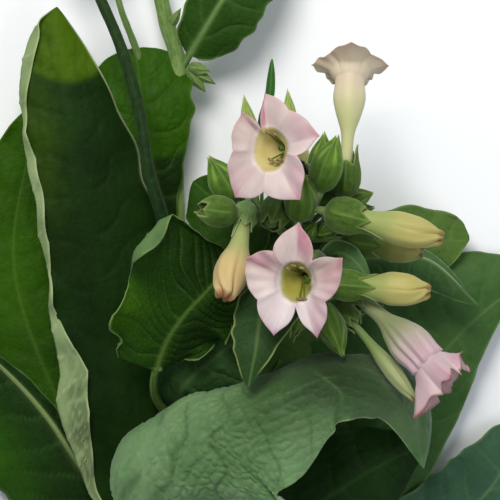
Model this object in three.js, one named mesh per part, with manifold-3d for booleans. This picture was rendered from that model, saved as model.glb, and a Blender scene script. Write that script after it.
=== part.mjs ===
// Flowering shoot of a tobacco plant, cut off and laid down with its flower cluster facing up.
// Millimetres, +Z up. The shoot lies on z = 0 with its tip towards +Y, and the origin is under its middle.
import * as THREE from "three";
import { mergeVertices } from "three/addons/utils/BufferGeometryUtils.js";
import Module from "manifold-3d";

const wasm = await Module();
wasm.setup();

const { lerp, clamp, smoothstep, degToRad } = THREE.MathUtils;

// Driving dimensions.
const clearance = 0.35; // between a piece and the one that it sits on
const leafThickness = 0.0105; // share of the leaf's length
const thinnestLeaf = 1;
const ribRadius = 2.2; // at a leaf's foot
const slimRibRadius = 0.9; // at a bract's foot
const ribTipRadius = 0.5;
const petals = 5; // also the number of calyx teeth
const calyxLength = 17;
const calyxRadius = 5.8;
const calyxWall = 0.9;
const calyxFloor = 3; // the solid foot that the corolla stands on
const corollaRadius = 6.1; // at the widest of the tube
const corollaWall = 0.8;
const stalkRadius = 1.15;
const stalkSetBack = 0.13; // share of the twig, from the place nearest to the bloom back to the stalk's root
const tuftBudLength = 13.5;
const tuftBudSize = 0.5; // against a full calyx

// Profiles from foot to tip, as [share of the length, share of the widest radius].
const budProfile = [[0, 0.22], [0.08, 0.6], [0.3, 0.97], [0.55, 0.96], [0.8, 0.56], [1, 0.08]];
const calyxProfile = [[0, 0.22], [0.08, 0.65], [0.3, 0.96], [0.5, 1]];
const calyxNotch = [0.66, 0.9]; // the margin between two teeth
const calyxTooth = [1, 0.72];
const tubeProfile = [[0.3, 0.38], [0.52, 0.45], [0.66, 0.8], [0.77, 1], [0.95, 0.9]];
const shutProfile = [[0.3, 0.42], [0.5, 0.6], [0.65, 0.9], [0.78, 1], [0.92, 0.75], [1, 0.18]];

const finishes = {
  stem: { color: "#6f8f4c", roughness: 0.6 },
  darkStem: { color: "#2f4a22", roughness: 0.6 },
  deepLeaf: { color: "#1f3d1c", roughness: 0.6 },
  brightLeaf: { color: "#3f6f12", roughness: 0.6 },
  coolLeaf: { color: "#5c7f5e", roughness: 0.6 },
  midLeaf: { color: "#41703a", roughness: 0.6 },
  calyx: { color: "#5f8a45", roughness: 0.65 },
  petal: { color: "#e6c3cb", roughness: 0.7 },
  paleTube: { color: "#d9d7a0", roughness: 0.7 },
  fadedTube: { color: "#cfbf74", roughness: 0.7 },
};

// A route runs from a stem's foot to its tip, and its radius from the first value to the second.
// tuft: how many small buds end the stem.
const stems = {
  main_stem: {
    route: [
      [-20, -147, 4.7], [-23.5, -105, 6], [-26, -59.5, 8], [-27.5, -15.5, 8], [-31, 28, 10],
      [-31.5, 63.5, 12], [-30, 85.5, 14], [-34.5, 102, 13], [-38.5, 120.5, 10.5], [-41, 135, 7],
    ],
    radius: [4.6, 2.6], sides: 8, steps: 15, finish: "stem", tuft: 3,
  },
  left_branch: {
    route: [
      [-27, -19.5, 8], [-34, 19, 33], [-40.5, 42, 39], [-44, 65, 40],
      [-51, 89.5, 40], [-59, 108.5, 38], [-66.5, 125.5, 30],
    ],
    radius: [2.6, 2], sides: 6, steps: 10, finish: "darkStem", tuft: 3,
  },
  slim_branch: {
    route: [[-29, 30, 11], [-37, 60.5, 9], [-46, 90, 16], [-52, 106.5, 24], [-55.5, 122.5, 22]],
    radius: [1.7, 1.1], sides: 6, steps: 9, finish: "stem", tuft: 2,
  },
  flower_branch: {
    route: [[-26.5, -75, 8], [-15.5, -43.5, 24], [-0.5, -14.5, 35], [14, 7.5, 45], [21, 26.5, 54]],
    radius: [3.6, 2.1], sides: 7, steps: 9, finish: "stem",
  },
  left_twig: {
    route: [[16.5, 13.5, 48], [8.5, 21, 54], [1, 27, 56]],
    radius: [1.9, 1.4], sides: 6, steps: 5, finish: "stem",
  },
  right_twig: {
    route: [[9.5, 1.5, 43], [19, 2, 47], [28, 3.5, 50]],
    radius: [1.9, 1.4], sides: 6, steps: 5, finish: "stem",
  },
};

// kind: "open" is a flower, "shut" a closed corolla in its calyx, "pod" an open calyx, "bud" a closed one.
// foot: the end of the stalk. mouth: the end of the tube, or the tip. facing: the way that the mouth looks.
// size and girth scale the calyx, and girth and full the corolla. turn: the calyx teeth's turn, in radians.
// lobes: petal tips and the notches between them, in turn, as [angle in degrees, reach].
const blooms = {
  upper_flower: {
    kind: "open", on: "flower_branch", foot: [19.5, 36.5, 54], mouth: [6, 48.5, 96],
    facing: [-0.42, 0.02, 0.9], turn: 0.3,
    lobes: [
      [13, 19.7], [59, 16.5], [97, 21], [107, 6.5], [129, 18.5],
      [181, 13.5], [230, 22.5], [265, 15.5], [302, 21.9], [348, 12.2],
    ],
  },
  lower_flower: {
    kind: "open", on: "flower_branch", foot: [23.5, 7.5, 57], mouth: [15, 0.5, 101],
    facing: [-0.2, -0.12, 0.97],
    lobes: [
      [28, 19.5], [51, 10.5], [87, 21.8], [125, 13.8], [157, 20.4],
      [206, 15], [248, 21.7], [274, 9], [291, 22.1], [330, 13.2],
    ],
  },
  tall_flower: {
    kind: "open", on: "flower_branch", foot: [34, 31.5, 56], mouth: [36.5, 78.5, 50],
    facing: [0.02, 0.86, -0.5], turn: 0.9,
    lobes: [
      [54, 10.5], [90, 9], [126, 10.5], [162, 9.8], [198, 15.5],
      [234, 13], [270, 20], [306, 13], [342, 15.5], [378, 9.8],
    ],
  },
  faded_flower: {
    kind: "open", on: "right_twig", foot: [33, 0.5, 60], mouth: [64.5, -30, 86],
    facing: [0.66, -0.7, 0.28], spread: 0.45, girth: 1.25,
    lobes: [
      [14, 14.5], [52, 8.5], [92, 12], [136, 9], [184, 18.5],
      [216, 8.5], [250, 14], [285, 8.5], [322, 16], [350, 10],
    ],
  },
  right_bud: {
    kind: "shut", on: "flower_branch", foot: [26, 26.5, 76], mouth: [70, 16, 82],
    facing: [0.97, -0.24, 0.05], size: 1.1, girth: 1.05, finish: "paleTube",
  },
  under_right_bud: {
    kind: "shut", on: "flower_branch", foot: [32.5, 15.5, 60], mouth: [64, 11, 62],
    girth: 0.95, full: 0.85, finish: "paleTube",
  },
  lower_right_bud: {
    kind: "shut", on: "right_twig", foot: [27, -0.5, 74], mouth: [65.5, -3.5, 80],
    facing: [0.98, -0.08, 0.05], finish: "paleTube",
  },
  hanging_bud: {
    kind: "shut", on: "left_twig", foot: [-2.5, 29.5, 64], mouth: [-11.5, -6, 88],
    facing: [-0.35, -0.88, 0.4], size: 0.8, full: 1.1, finish: "fadedTube",
  },
  slim_bud: {
    kind: "shut", on: "right_twig", foot: [30, -7, 58], mouth: [59.5, -44, 84],
    facing: [0.55, -0.78, 0.3], girth: 0.9, full: 0.52, finish: "paleTube",
  },
  under_mid_bud: {
    kind: "shut", on: "flower_branch", foot: [19.5, 26, 40], mouth: [15, 57.5, 18],
    full: 0.9, finish: "paleTube",
  },
  front_left_pod: { kind: "pod", on: "left_twig", foot: [-6.5, 25.5, 72], mouth: [-23, 27.5, 78] },
  middle_pod: { kind: "pod", on: "left_twig", foot: [10.5, 31.5, 62], mouth: [3, 15, 76] },
  low_left_pod: { kind: "pod", on: "right_twig", foot: [18, -6.5, 68], mouth: [13, -25.5, 84], girth: 0.78 },
  under_low_pod: { kind: "pod", on: "right_twig", foot: [23, 5, 36], mouth: [33, -4.5, 20] },
  left_bud: { kind: "bud", on: "left_twig", foot: [-7, 30, 60], mouth: [-17, 47, 64] },
  tall_bud: { kind: "bud", on: "left_twig", foot: [0, 43, 54], mouth: [-4, 70.5, 56], size: 0.64 },
  centre_bud: { kind: "bud", on: "flower_branch", foot: [16.5, 22.5, 70], mouth: [19, 40, 78], size: 1.05 },
  upper_right_bud: { kind: "bud", on: "flower_branch", foot: [24.5, 33.5, 72], mouth: [31, 54.5, 76] },
  right_back_bud: {
    kind: "bud", on: "flower_branch", foot: [24.5, 36.5, 54], mouth: [26.5, 56.5, 52], size: 0.8,
  },
  star_bud: { kind: "bud", on: "flower_branch", foot: [13.5, 53, 50], mouth: [13, 73, 50], size: 0.48 },
  right_small_bud: { kind: "bud", on: "flower_branch", foot: [31.5, 29, 46], mouth: [46, 34, 44], size: 0.7 },
  right_low_bud: {
    kind: "bud", on: "flower_branch", foot: [31, 24.5, 40], mouth: [46.5, 28.5, 36], size: 0.7,
  },
  young_bud: { kind: "bud", on: "flower_branch", foot: [18, 16, 58], mouth: [23.5, 22.5, 64], size: 0.55 },
  side_young_bud: {
    kind: "bud", on: "flower_branch", foot: [31, 20.5, 54], mouth: [24, 17.5, 60], size: 0.55,
  },
  low_bud: { kind: "bud", on: "right_twig", foot: [25, -7.5, 66], mouth: [33, -27.5, 78], size: 0.9 },
  under_left_bud: { kind: "bud", on: "left_twig", foot: [11, 18, 38], mouth: [1, 26, 22] },
  under_far_bud: { kind: "bud", on: "flower_branch", foot: [27, 19.5, 38], mouth: [38.5, 24, 20] },
};

// A rib starts on the middle line of its stem. Pairs are for the blade's left and right half.
// half: the widest reach from the rib, at the share "widest" of the blade. fullness: below 1.5 is a fuller
// outline, and above it a slimmer one. stalk: the bare share of the rib.
// In degrees: fold is how far a half rises from the rib, bend how far it curves on, and roll how its
// margin turns.
const leaves = {
  big_left_leaf: {
    on: "main_stem", finish: "deepLeaf", fine: true,
    rib: [
      [-22.5, -111, 8], [-44, -74, 20], [-58.5, -19, 26],
      [-65.5, 27.5, 28], [-71.5, 70.5, 28], [-77, 107, 24],
    ],
    half: [27, 31], widest: [0.48, 0.38], fullness: [0.8, 1.45],
    fold: [[6, 0], [0, -10]], bend: [0, -20], roll: [165, 0], rollFrom: [0.45, 0.6, 0.8, 0.86],
  },
  far_left_leaf: {
    on: "main_stem", finish: "brightLeaf",
    rib: [[-23.5, -117, 7], [-55, -87.5, 5], [-78, -47.5, 3.6], [-95.5, 8, 3.9], [-85, 70.5, 4]],
    half: [26, 27], widest: [0.58, 0.5], fold: [[0], [0]], bend: [-10, -10],
  },
  low_left_leaf: {
    on: "main_stem", finish: "midLeaf",
    rib: [
      [-23, -123, 7], [-45, -102.5, 12], [-65, -77.5, 17],
      [-81.5, -53, 18], [-100, -33.5, 16], [-117.5, -22, 10],
    ],
    half: [34, 6], fold: [[-6], [-30]], bend: [-16, 0], stalk: 0.1,
  },
  round_leaf: {
    on: "main_stem", finish: "brightLeaf",
    rib: [[-27.5, 7.5, 9], [-36, 29.5, 16], [-41, 51, 20], [-44, 70.5, 21], [-46.5, 91.5, 15]],
    half: [22, 20.5], widest: [0.74, 0.76], fullness: [1.7, 1.7], fold: [[0], [0]], bend: [-12, -12],
  },
  front_leaf: {
    on: "main_stem", finish: "coolLeaf", fine: true,
    rib: [
      [-21.5, -131, 6], [-29, -101, 44], [-30, -78, 68], [-16.5, -56, 80],
      [6.5, -43.5, 84], [31, -35, 82], [53.5, -44.5, 74], [64, -70.5, 60],
    ],
    half: [36, 38], widest: [0.3, 0.33], fullness: [0.75, 2.6],
    fold: [[-8, -20, -50, -52, -20], [-4, -12]], bend: [-38, -10], roll: [-40, 0], rollFrom: [0.5],
    wave: [1.6, 2.5], stalk: 0.1,
  },
  dark_leaf: {
    on: "main_stem", finish: "deepLeaf",
    rib: [[-20.5, -135, 6], [3, -104.5, 28], [27.5, -84, 40], [48.5, -70.5, 44], [67, -62, 40]],
    half: [22, 22], fold: [[-4], [-8]], bend: [-10, -20], stalk: 0.1,
  },
  right_mid_leaf: {
    on: "flower_branch", finish: "coolLeaf",
    rib: [[16, 12, 47], [35, 7.5, 44], [50, 9.5, 46], [67.5, 7.5, 42], [87, -9.5, 32]],
    half: [9, 17], fold: [[-55], [-8]], bend: [-10, -10], stalk: 0.1,
  },
  right_top_leaf: {
    on: "main_stem", finish: "midLeaf",
    rib: [[-27, -39.5, 8], [2.5, -11.5, 18], [30, 3.5, 22], [59, 13.5, 22], [85, 16, 14]],
    half: [16, 26], widest: [0.62, 0.4], fullness: [1, 0.9],
    fold: [[0], [-6]], bend: [-8, -8], wave: [1.8, 4],
  },
  right_big_leaf: {
    on: "main_stem", finish: "midLeaf", fine: true,
    rib: [[-21.5, -123, 6], [18, -90.5, 14], [51.5, -55, 17], [85, -17.5, 15], [118, 7, 1.5]],
    half: [46, 30], widest: [0.52, 0.35], fullness: [2, 3], fold: [[0], [-4]], bend: [-10, -14],
  },
  right_low_leaf: {
    on: "main_stem", finish: "coolLeaf",
    rib: [[-20, -139, 5], [26, -122, 12], [65.5, -104, 14], [93, -82.5, 12], [105.5, -57, 8]],
    half: [20, 20], widest: [0.62, 0.55], fold: [[0], [0]], bend: [-10, -12],
  },
  hanging_leaf: {
    on: "right_twig", finish: "coolLeaf",
    rib: [[11, 1.5, 44], [6, -1.5, 70], [2.5, -11.5, 80], [0.5, -25, 86], [-2, -38.5, 85]],
    half: [16, 10], widest: [0.32, 0.5], fold: [[0, 10], [-10, -20]], bend: [0, 0], stalk: 0.1,
  },
  cupped_leaf: {
    on: "main_stem", finish: "brightLeaf", fine: true,
    rib: [
      [-26.5, -63.5, 8], [-38, -44, 34], [-34.5, -26, 48],
      [-26.5, -13, 58], [-16, -1.5, 62], [-8.5, 9.5, 56],
    ],
    half: [39, 22], widest: [0.66, 0.5], fullness: [0.85, 0.9], fold: [[-6, 10, 20], [-30, -18]],
    bend: [20, -10], roll: [80, 0], rollFrom: [0.74], wave: [2.4, 3.5], stalk: 0.3,
  },
  shaded_leaf: {
    on: "main_stem", finish: "deepLeaf",
    rib: [[-26.5, -57.5, 8], [-28.5, -43, 30], [-18.5, -32.5, 38], [-8.5, -24.5, 41], [1.5, -20, 38]],
    half: [15, 19], widest: [0.42, 0.66], fold: [[0], [0]], bend: [-20, -20], wave: [2, 3], stalk: 0.1,
  },
  back_leaf: {
    on: "left_twig", finish: "brightLeaf",
    rib: [[7, 22, 54], [1, 22.5, 46], [-7.5, 26, 42], [-16, 32, 38], [-23.5, 38.5, 32]],
    half: [18, 12], widest: [0.5, 0.6], fold: [[0], [0]], bend: [-10, -10],
  },
  slim_bract: {
    on: "left_twig", finish: "midLeaf", slim: true,
    rib: [[3, 25.5, 55], [3, 42, 46], [3, 58, 46], [6, 71.5, 46], [7, 85.5, 42]],
    half: [2.1, 2.1], widest: [0.6, 0.6], fold: [[20], [20]], bend: [0, 0],
  },
  right_bract: {
    on: "right_twig", finish: "coolLeaf", slim: true,
    rib: [[27.5, 3, 50], [30, 10.5, 62], [36.5, 9, 68], [44, 0, 70]],
    half: [5, 7], fold: [[0], [0]], bend: [0, 0],
  },
  top_leaf: {
    on: "main_stem", finish: "midLeaf",
    rib: [
      [-29.5, 80.5, 14], [-26, 87.5, 18], [-18, 100, 27],
      [-9.5, 113, 31], [3, 128, 27], [17.5, 144.5, 14],
    ],
    half: [12, 17], widest: [0.4, 0.4], fullness: [1.1, 1.1], fold: [[0], [-6]], bend: [0, -14], stalk: 0.22,
  },
};

const curveThrough = (points) =>
  new THREE.CatmullRomCurve3(points.map((p) => new THREE.Vector3(...p)), false, "catmullrom", 0.5);

const stemCurves = {};
for (const [name, stem] of Object.entries(stems)) stemCurves[name] = curveThrough(stem.route);

// Closed skins

// A closed skin over rings that have the same number of points, with a fan at each end.
function skin(rings) {
  const n = rings[0].length;
  const corners = rings.flat();
  const faces = [];
  for (let i = 0; i < rings.length - 1; i++)
    for (let k = 0; k < n; k++) {
      const here = i * n + k;
      const next = i * n + ((k + 1) % n);
      faces.push(here, next, next + n, here, next + n, here + n);
    }
  const middle = (ring) => ring.reduce((sum, p) => sum.add(p), new THREE.Vector3()).divideScalar(n);
  const foot = corners.push(middle(rings[0])) - 1;
  const tip = corners.push(middle(rings[rings.length - 1])) - 1;
  const last = (rings.length - 1) * n;
  for (let k = 0; k < n; k++) {
    faces.push(foot, (k + 1) % n, k);
    faces.push(tip, last + k, last + ((k + 1) % n));
  }
  if (volume(corners, faces) < 0) faces.reverse();
  return new THREE.BufferGeometry().setFromPoints(corners).setIndex(faces);
}

function volume(corners, faces) {
  const cross = new THREE.Vector3();
  let sum = 0;
  for (let i = 0; i < faces.length; i += 3) {
    cross.crossVectors(corners[faces[i + 1]], corners[faces[i + 2]]);
    sum += corners[faces[i]].dot(cross) / 6;
  }
  return sum;
}

// The same skin with each corner moved out along its own normal.
function grown(geometry, by) {
  const bigger = geometry.clone();
  bigger.computeVertexNormals();
  const at = bigger.getAttribute("position");
  const normal = bigger.getAttribute("normal");
  const corner = new THREE.Vector3();
  const out = new THREE.Vector3();
  for (let i = 0; i < at.count; i++) {
    out.fromBufferAttribute(normal, i);
    corner.fromBufferAttribute(at, i).addScaledVector(out, by);
    at.setXYZ(i, corner.x, corner.y, corner.z);
  }
  bigger.deleteAttribute("normal");
  return bigger;
}

function solidFrom(geometry) {
  const merged = mergeVertices(geometry, 1e-4);
  return new wasm.Manifold(
    new wasm.Mesh({
      numProp: 3,
      vertProperties: merged.getAttribute("position").array,
      triVerts: new Uint32Array(merged.index.array),
    }),
  );
}

function geometryFrom(solid) {
  const mesh = solid.getMesh();
  const geometry = new THREE.BufferGeometry();
  geometry.setAttribute("position", new THREE.BufferAttribute(new Float32Array(mesh.vertProperties), 3));
  geometry.setIndex(new THREE.BufferAttribute(mesh.triVerts, 1));
  return geometry;
}

// Stems

// Two directions across a tangent, the first as near as possible to a wanted one.
function across(tangent, wanted) {
  const side = wanted.clone().addScaledVector(tangent, -wanted.dot(tangent)).normalize();
  const up = new THREE.Vector3().crossVectors(tangent, side);
  return { side, up };
}

// The direction at an angle between the two.
const between = ({ side, up }, angle) =>
  side.clone().multiplyScalar(Math.cos(angle)).addScaledVector(up, Math.sin(angle));

// A round limb along a curve, with its radius running from the first value to the second.
function limbSkin(curve, radii, sides, steps) {
  const rings = [];
  for (let i = 0; i <= steps; i++) {
    const t = i / steps;
    const centre = curve.getPoint(t);
    const frame = across(curve.getTangent(t), new THREE.Vector3(0, 0, 1));
    const radius = lerp(radii[0], radii[1], t);
    rings.push(evenAngles(sides).map((a) => centre.clone().addScaledVector(between(frame, a), radius)));
  }
  return skin(rings);
}

function evenAngles(count, turn = 0) {
  return Array.from({ length: count }, (_, k) => (2 * Math.PI * k) / count + turn);
}

// The share of a curve at which it lies nearest to a point.
function nearest(curve, point) {
  const steps = 60;
  let best = 0;
  for (let i = 1; i <= steps; i++) {
    const here = curve.getPoint(i / steps).distanceTo(point);
    if (here < curve.getPoint(best).distanceTo(point)) best = i / steps;
  }
  return best;
}

// A flower's stalk, from inside its twig to just short of the bloom, and in line with the bloom there.
function stalkSkin(bloom, line) {
  const twig = stemCurves[bloom.on];
  const aim = line.curve.getTangent(0);
  const end = line.curve.getPoint(0).addScaledVector(aim, -1.1 * clearance);
  const from = Math.max(0, nearest(twig, end) - stalkSetBack);
  const root = twig.getPoint(from);
  const third = root.distanceTo(end) / 3;
  const leaving = root.clone().addScaledVector(twig.getTangent(from), 0.6 * third);
  const arriving = end.clone().addScaledVector(aim, -third);
  const path = new THREE.CubicBezierCurve3(root, leaving, arriving, end);
  return limbSkin(path, [stalkRadius, stalkRadius], 4, 3);
}

// Small buds at the tip of a stem: the first goes nearly straight on, and the others spread round it.
function tuftSkins(curve, count) {
  const tip = curve.getPoint(1);
  const ahead = curve.getTangent(1);
  const frame = across(ahead, new THREE.Vector3(1, 0, 0));
  return evenAngles(count, 0.5).map((angle, k) => {
    const spread = k === 0 ? 0.1 : 0.9;
    const aim = ahead.clone().addScaledVector(between(frame, angle), spread).normalize();
    const foot = tip.clone().addScaledVector(aim, -0.5);
    const mouth = foot.clone().addScaledVector(aim, tuftBudLength);
    return budSkin({ size: tuftBudSize }, bloomLine({ foot, mouth }), petals);
  });
}

// Blooms

// The middle line from a bloom's foot to its mouth, where it ends in the way that the bloom faces.
function bloomLine(bloom) {
  const foot = new THREE.Vector3(...bloom.foot);
  const mouth = new THREE.Vector3(...bloom.mouth);
  const length = foot.distanceTo(mouth);
  const facing = bloom.facing ? new THREE.Vector3(...bloom.facing) : mouth.clone().sub(foot);
  const before = mouth.clone().addScaledVector(facing.normalize(), -length / 3);
  const after = foot.clone().add(before.clone().sub(foot).setLength(length / 3));
  return { curve: new THREE.CubicBezierCurve3(foot, after, before, mouth), length };
}

// The point at a distance along a bloom's line, out from it by a radius at an angle.
function bloomPoint(line, distance, radius, angle) {
  const t = clamp(distance / line.length, 0, 1);
  const tangent = line.curve.getTangent(t);
  const centre = line.curve.getPoint(t).addScaledVector(tangent, distance - t * line.length);
  const wanted = Math.abs(tangent.x) < 0.8 ? new THREE.Vector3(1, 0, 0) : new THREE.Vector3(0, 0, 1);
  return centre.addScaledVector(between(across(tangent, wanted), angle), radius);
}

function ringAt(line, angles, at) {
  return angles.map((angle) => bloomPoint(line, ...at(angle), angle));
}

// How near an angle is to the middle of a calyx tooth: 1 there, and 0 halfway to the next.
function toothShare(angle, turn = 0) {
  const place = (((angle - turn) / (2 * Math.PI)) * petals) % 1;
  return Math.abs(2 * ((place + 1) % 1) - 1);
}

// A cup with pointed teeth, solid at its foot.
function calyxSkin(bloom, line) {
  const { size = 1, girth = 1, turn } = bloom;
  const length = calyxLength * size;
  const wide = calyxRadius * size * girth;
  const angles = evenAngles(2 * petals, turn);
  const level = (distance, radius) => ringAt(line, angles, () => [distance, radius]);
  const margin = (inward) =>
    ringAt(line, angles, (a) => {
      const tooth = toothShare(a, turn);
      const distance = lerp(calyxNotch[0], calyxTooth[0], tooth) * length;
      const radius = lerp(calyxNotch[1], calyxTooth[1], tooth) * wide;
      return [distance - inward / 2, radius - inward];
    });
  const [widestAt] = calyxProfile[calyxProfile.length - 1];
  return skin([
    ...calyxProfile.map(([share, r]) => level(share * length, r * wide)),
    margin(0),
    margin(calyxWall),
    level(widestAt * length, wide - calyxWall),
    level(calyxFloor, 0.62 * wide),
  ]);
}

// A calyx still shut over its bud, with a low ridge for each tooth.
function budSkin(bloom, line, sides = 2 * petals) {
  const { size = 1, turn } = bloom;
  const ridge = (a) => 1 + 0.08 * toothShare(a, turn);
  return skin(
    budProfile.map(([share, r]) =>
      ringAt(line, evenAngles(sides, turn), (a) => [share * line.length, r * calyxRadius * size * ridge(a)])),
  );
}

// The limb's reach at an angle, on a petal's rounded edge from its tip to the notch beside it.
function lobeReach(lobes, degrees) {
  const ring = [...lobes, [lobes[0][0] + 360, lobes[0][1]]];
  const i = ring.findIndex(([from], n) => n < lobes.length && degrees >= from && degrees <= ring[n + 1][0]);
  const share = (degrees - ring[i][0]) / (ring[i + 1][0] - ring[i][0]);
  const rising = i % 2 === 1;
  const fromTip = rising ? 1 - share : share;
  const tip = ring[rising ? i + 1 : i][1];
  const notch = ring[rising ? i : i + 1][1];
  return notch + (tip - notch) * (0.72 * (1 - fromTip ** 2.2) + 0.28 * Math.exp(-fromTip / 0.16));
}

// An open corolla: a tube that swells to its throat and spreads in five lobes.
// spread: 1 is a flat limb, and less is a funnel.
function corollaSkin(bloom, line) {
  const { lobes, spread = 1, girth = 1 } = bloom;
  const wide = corollaRadius * girth;
  const degrees = lobes.flatMap(([from], i) => {
    const to = i + 1 < lobes.length ? lobes[i + 1][0] : lobes[0][0] + 360;
    return [from, (from + to) / 2];
  });
  const ring = (at) => degrees.map((d) => bloomPoint(line, ...at(d), degToRad(d)));
  const level = (share, radius) => ring(() => [share * line.length, radius]);
  const rise = (q) => (4.2 * q - 2.2 * q ** 3) * spread + 14 * q * (1 - spread);
  const reach = (d, q) => lerp(0.92 * wide, lobeReach(lobes, d), q) * lerp(0.75, 1, spread);
  const limb = (q, lift) => ring((d) => [line.length + rise(q) + lift, reach(d, q) - 0.4 * lift]);
  const inside = tubeProfile.slice(2).reverse();
  return skin([
    level((calyxFloor + clearance) / line.length, 0.3 * corollaRadius),
    ...tubeProfile.map(([share, r]) => level(share, r * wide)),
    limb(0.35, 0),
    limb(1, 0),
    limb(0.97, corollaWall),
    limb(0.35, corollaWall),
    ...inside.map(([share, r]) => level(share + 0.01, r * wide - corollaWall)),
  ]);
}

// A corolla that is still shut, or has shut again: swollen and pleated, with a pinched tip.
function shutSkin(bloom, line) {
  const wide = corollaRadius * (bloom.full ?? 1);
  const foot = (calyxFloor + clearance) / line.length;
  const pleat = (share, a) => 1 - 0.12 * share * toothShare(a);
  return skin(
    [[foot, 0.3], ...shutProfile].map(([share, r]) =>
      ringAt(line, evenAngles(2 * petals), (a) => [share * line.length, r * wide * pleat(share, a)])),
  );
}

// Leaves

// A value that runs through a short list as t goes from 0 to 1.
function through(list, t) {
  if (list.length === 1) return list[0];
  const place = t * (list.length - 1);
  const i = Math.min(Math.floor(place), list.length - 2);
  return lerp(list[i], list[i + 1], place - i);
}

// Share of the widest reach: it rises to 1 at "widest" and falls to the tip.
function bladeShare(t, widest, fullness) {
  const rise = (t / widest) ** widest;
  const fall = ((1 - t) / (1 - widest)) ** (1 - widest);
  return (rise * fall) ** fullness;
}

// Points across one half of a blade, from rib to margin: out and up from the rib, and the slope there.
function halfBlade(leaf, hand, t, rib, crossings) {
  const k = hand < 0 ? 0 : 1;
  const { widest = [0.42, 0.42], fullness = [1.5, 1.5], wave = [0, 0] } = leaf;
  const { roll = [0, 0], rollFrom = [0.8] } = leaf;
  const share = bladeShare(t, widest[k], fullness[k]);
  const half = Math.max(leaf.half[k] * share, rib);
  const fold = through(leaf.fold[k], t);
  const turned = roll[k] * Math.min(1, 2 * share);
  const from = through(rollFrom, t);
  const slope = (v) => degToRad(fold + leaf.bend[k] * v + turned * smoothstep(v, from, 1));
  const ruffle = wave[0] * share * Math.sin(2 * Math.PI * wave[1] * t + 2.1 * k);
  const nearRib = Math.min(0.3, (1.4 * rib) / half);
  const places = Array.from({ length: crossings }, (_, c) => lerp(nearRib, 1, c / (crossings - 1)));
  const row = [{ x: 0, y: 0, angle: slope(0) }];
  const substeps = 6;
  let v = 0;
  let x = 0;
  let y = 0;
  for (const next of places) {
    const step = (next - v) / substeps;
    for (let s = 0; s < substeps; s++) {
      const angle = slope(v + (s + 0.5) * step);
      x += half * step * Math.cos(angle);
      y += half * step * Math.sin(angle);
    }
    v = next;
    row.push({ x, y: y + ruffle * v * v, angle: slope(v) });
  }
  return row;
}

// A leaf from inside its stem to its tip, with its rib standing proud underneath.
function leafSkin(leaf) {
  const [stations, crossings] = leaf.fine ? [12, 4] : [8, 3];
  const { stalk = 0.04 } = leaf;
  const stem = stemCurves[leaf.on];
  const foot = stem.getPoint(nearest(stem, new THREE.Vector3(...leaf.rib[0])));
  const curve = curveThrough([foot, ...leaf.rib.slice(1)]);
  const halfThick = 0.5 * Math.max(thinnestLeaf, leafThickness * curve.getLength());
  const rings = [];
  for (let i = 0; i <= stations; i++) {
    const t = 0.5 - 0.5 * Math.cos(Math.PI * lerp(0.06, 0.985, i / stations));
    const centre = curve.getPoint(t);
    const tangent = curve.getTangent(t);
    const { side: flat, up: level } = across(tangent, new THREE.Vector3(0, 0, 1));
    const rib = lerp(leaf.slim ? slimRibRadius : ribRadius, ribTipRadius, t);
    const blade = Math.max(0, (t - stalk) / (1 - stalk));
    const upper = [];
    const lower = [];
    for (const hand of [-1, 1]) {
      const row = halfBlade(leaf, hand, blade, rib, crossings);
      const lifted = (p, lift) =>
        centre.clone()
          .addScaledVector(level, hand * (p.x - lift * Math.sin(p.angle)))
          .addScaledVector(flat, p.y + lift * Math.cos(p.angle));
      const above = row.map((p) => lifted(p, halfThick));
      const below = row.map((p, c) => lifted(p, -halfThick - (c === 0 ? 0.8 * rib : 0)));
      if (hand < 0) {
        upper.push(...above.reverse());
        lower.push(...below.reverse());
      } else {
        upper.push(...above.slice(1));
        lower.push(...below.slice(1));
      }
    }
    rings.push([...upper, ...lower.reverse()]);
  }
  return skin(rings);
}

// The shoot

const shoot = new THREE.Group();
const placed = [];

// Each new piece is cut clear of those placed before it, and scraps that this leaves are dropped.
// A grown copy of each earlier piece gives the gap, and the piece itself the places where that falls short.
function place(name, skins, finish) {
  const box = new THREE.Box3();
  for (const one of skins) box.union(new THREE.Box3().setFromBufferAttribute(one.getAttribute("position")));
  let solid = solidFrom(skins[0]);
  for (const one of skins.slice(1)) solid = solid.add(solidFrom(one));
  for (const other of placed.filter((earlier) => earlier.box.intersectsBox(box)))
    for (const keepOut of other.keepOuts) solid = solid.subtract(keepOut);
  const [largest] = solid.decompose().sort((a, b) => b.volume() - a.volume());
  placed.push({
    box: box.expandByScalar(clearance),
    keepOuts: [largest, ...skins.map((one) => solidFrom(grown(one, clearance)))],
  });
  const material = new THREE.MeshStandardMaterial({ ...finishes[finish], metalness: 0 });
  const mesh = new THREE.Mesh(geometryFrom(largest), material);
  mesh.name = name;
  shoot.add(mesh);
}

const bloomLines = {};
for (const [name, bloom] of Object.entries(blooms)) bloomLines[name] = bloomLine(bloom);

for (const [name, stem] of Object.entries(stems)) {
  const borne = Object.keys(blooms).filter((bloom) => blooms[bloom].on === name);
  place(name, [
    limbSkin(stemCurves[name], stem.radius, stem.sides, stem.steps),
    ...borne.map((bloom) => stalkSkin(blooms[bloom], bloomLines[bloom])),
    ...tuftSkins(stemCurves[name], stem.tuft ?? 0),
  ], stem.finish);
}

for (const [name, bloom] of Object.entries(blooms)) {
  const line = bloomLines[name];
  if (bloom.kind === "bud") place(name, [budSkin(bloom, line)], "calyx");
  if (bloom.kind === "pod") place(name, [calyxSkin(bloom, line)], "calyx");
  if (bloom.kind === "open") {
    place(`${name}_calyx`, [calyxSkin({ ...bloom, girth: 1 }, line)], "calyx");
    place(name, [corollaSkin(bloom, line)], "petal");
  }
  if (bloom.kind === "shut") {
    place(`${name}_calyx`, [calyxSkin(bloom, line)], "calyx");
    place(name, [shutSkin(bloom, line)], bloom.finish);
  }
}

for (const [name, leaf] of Object.entries(leaves)) place(name, [leafSkin(leaf)], leaf.finish);

export default shoot;
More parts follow.
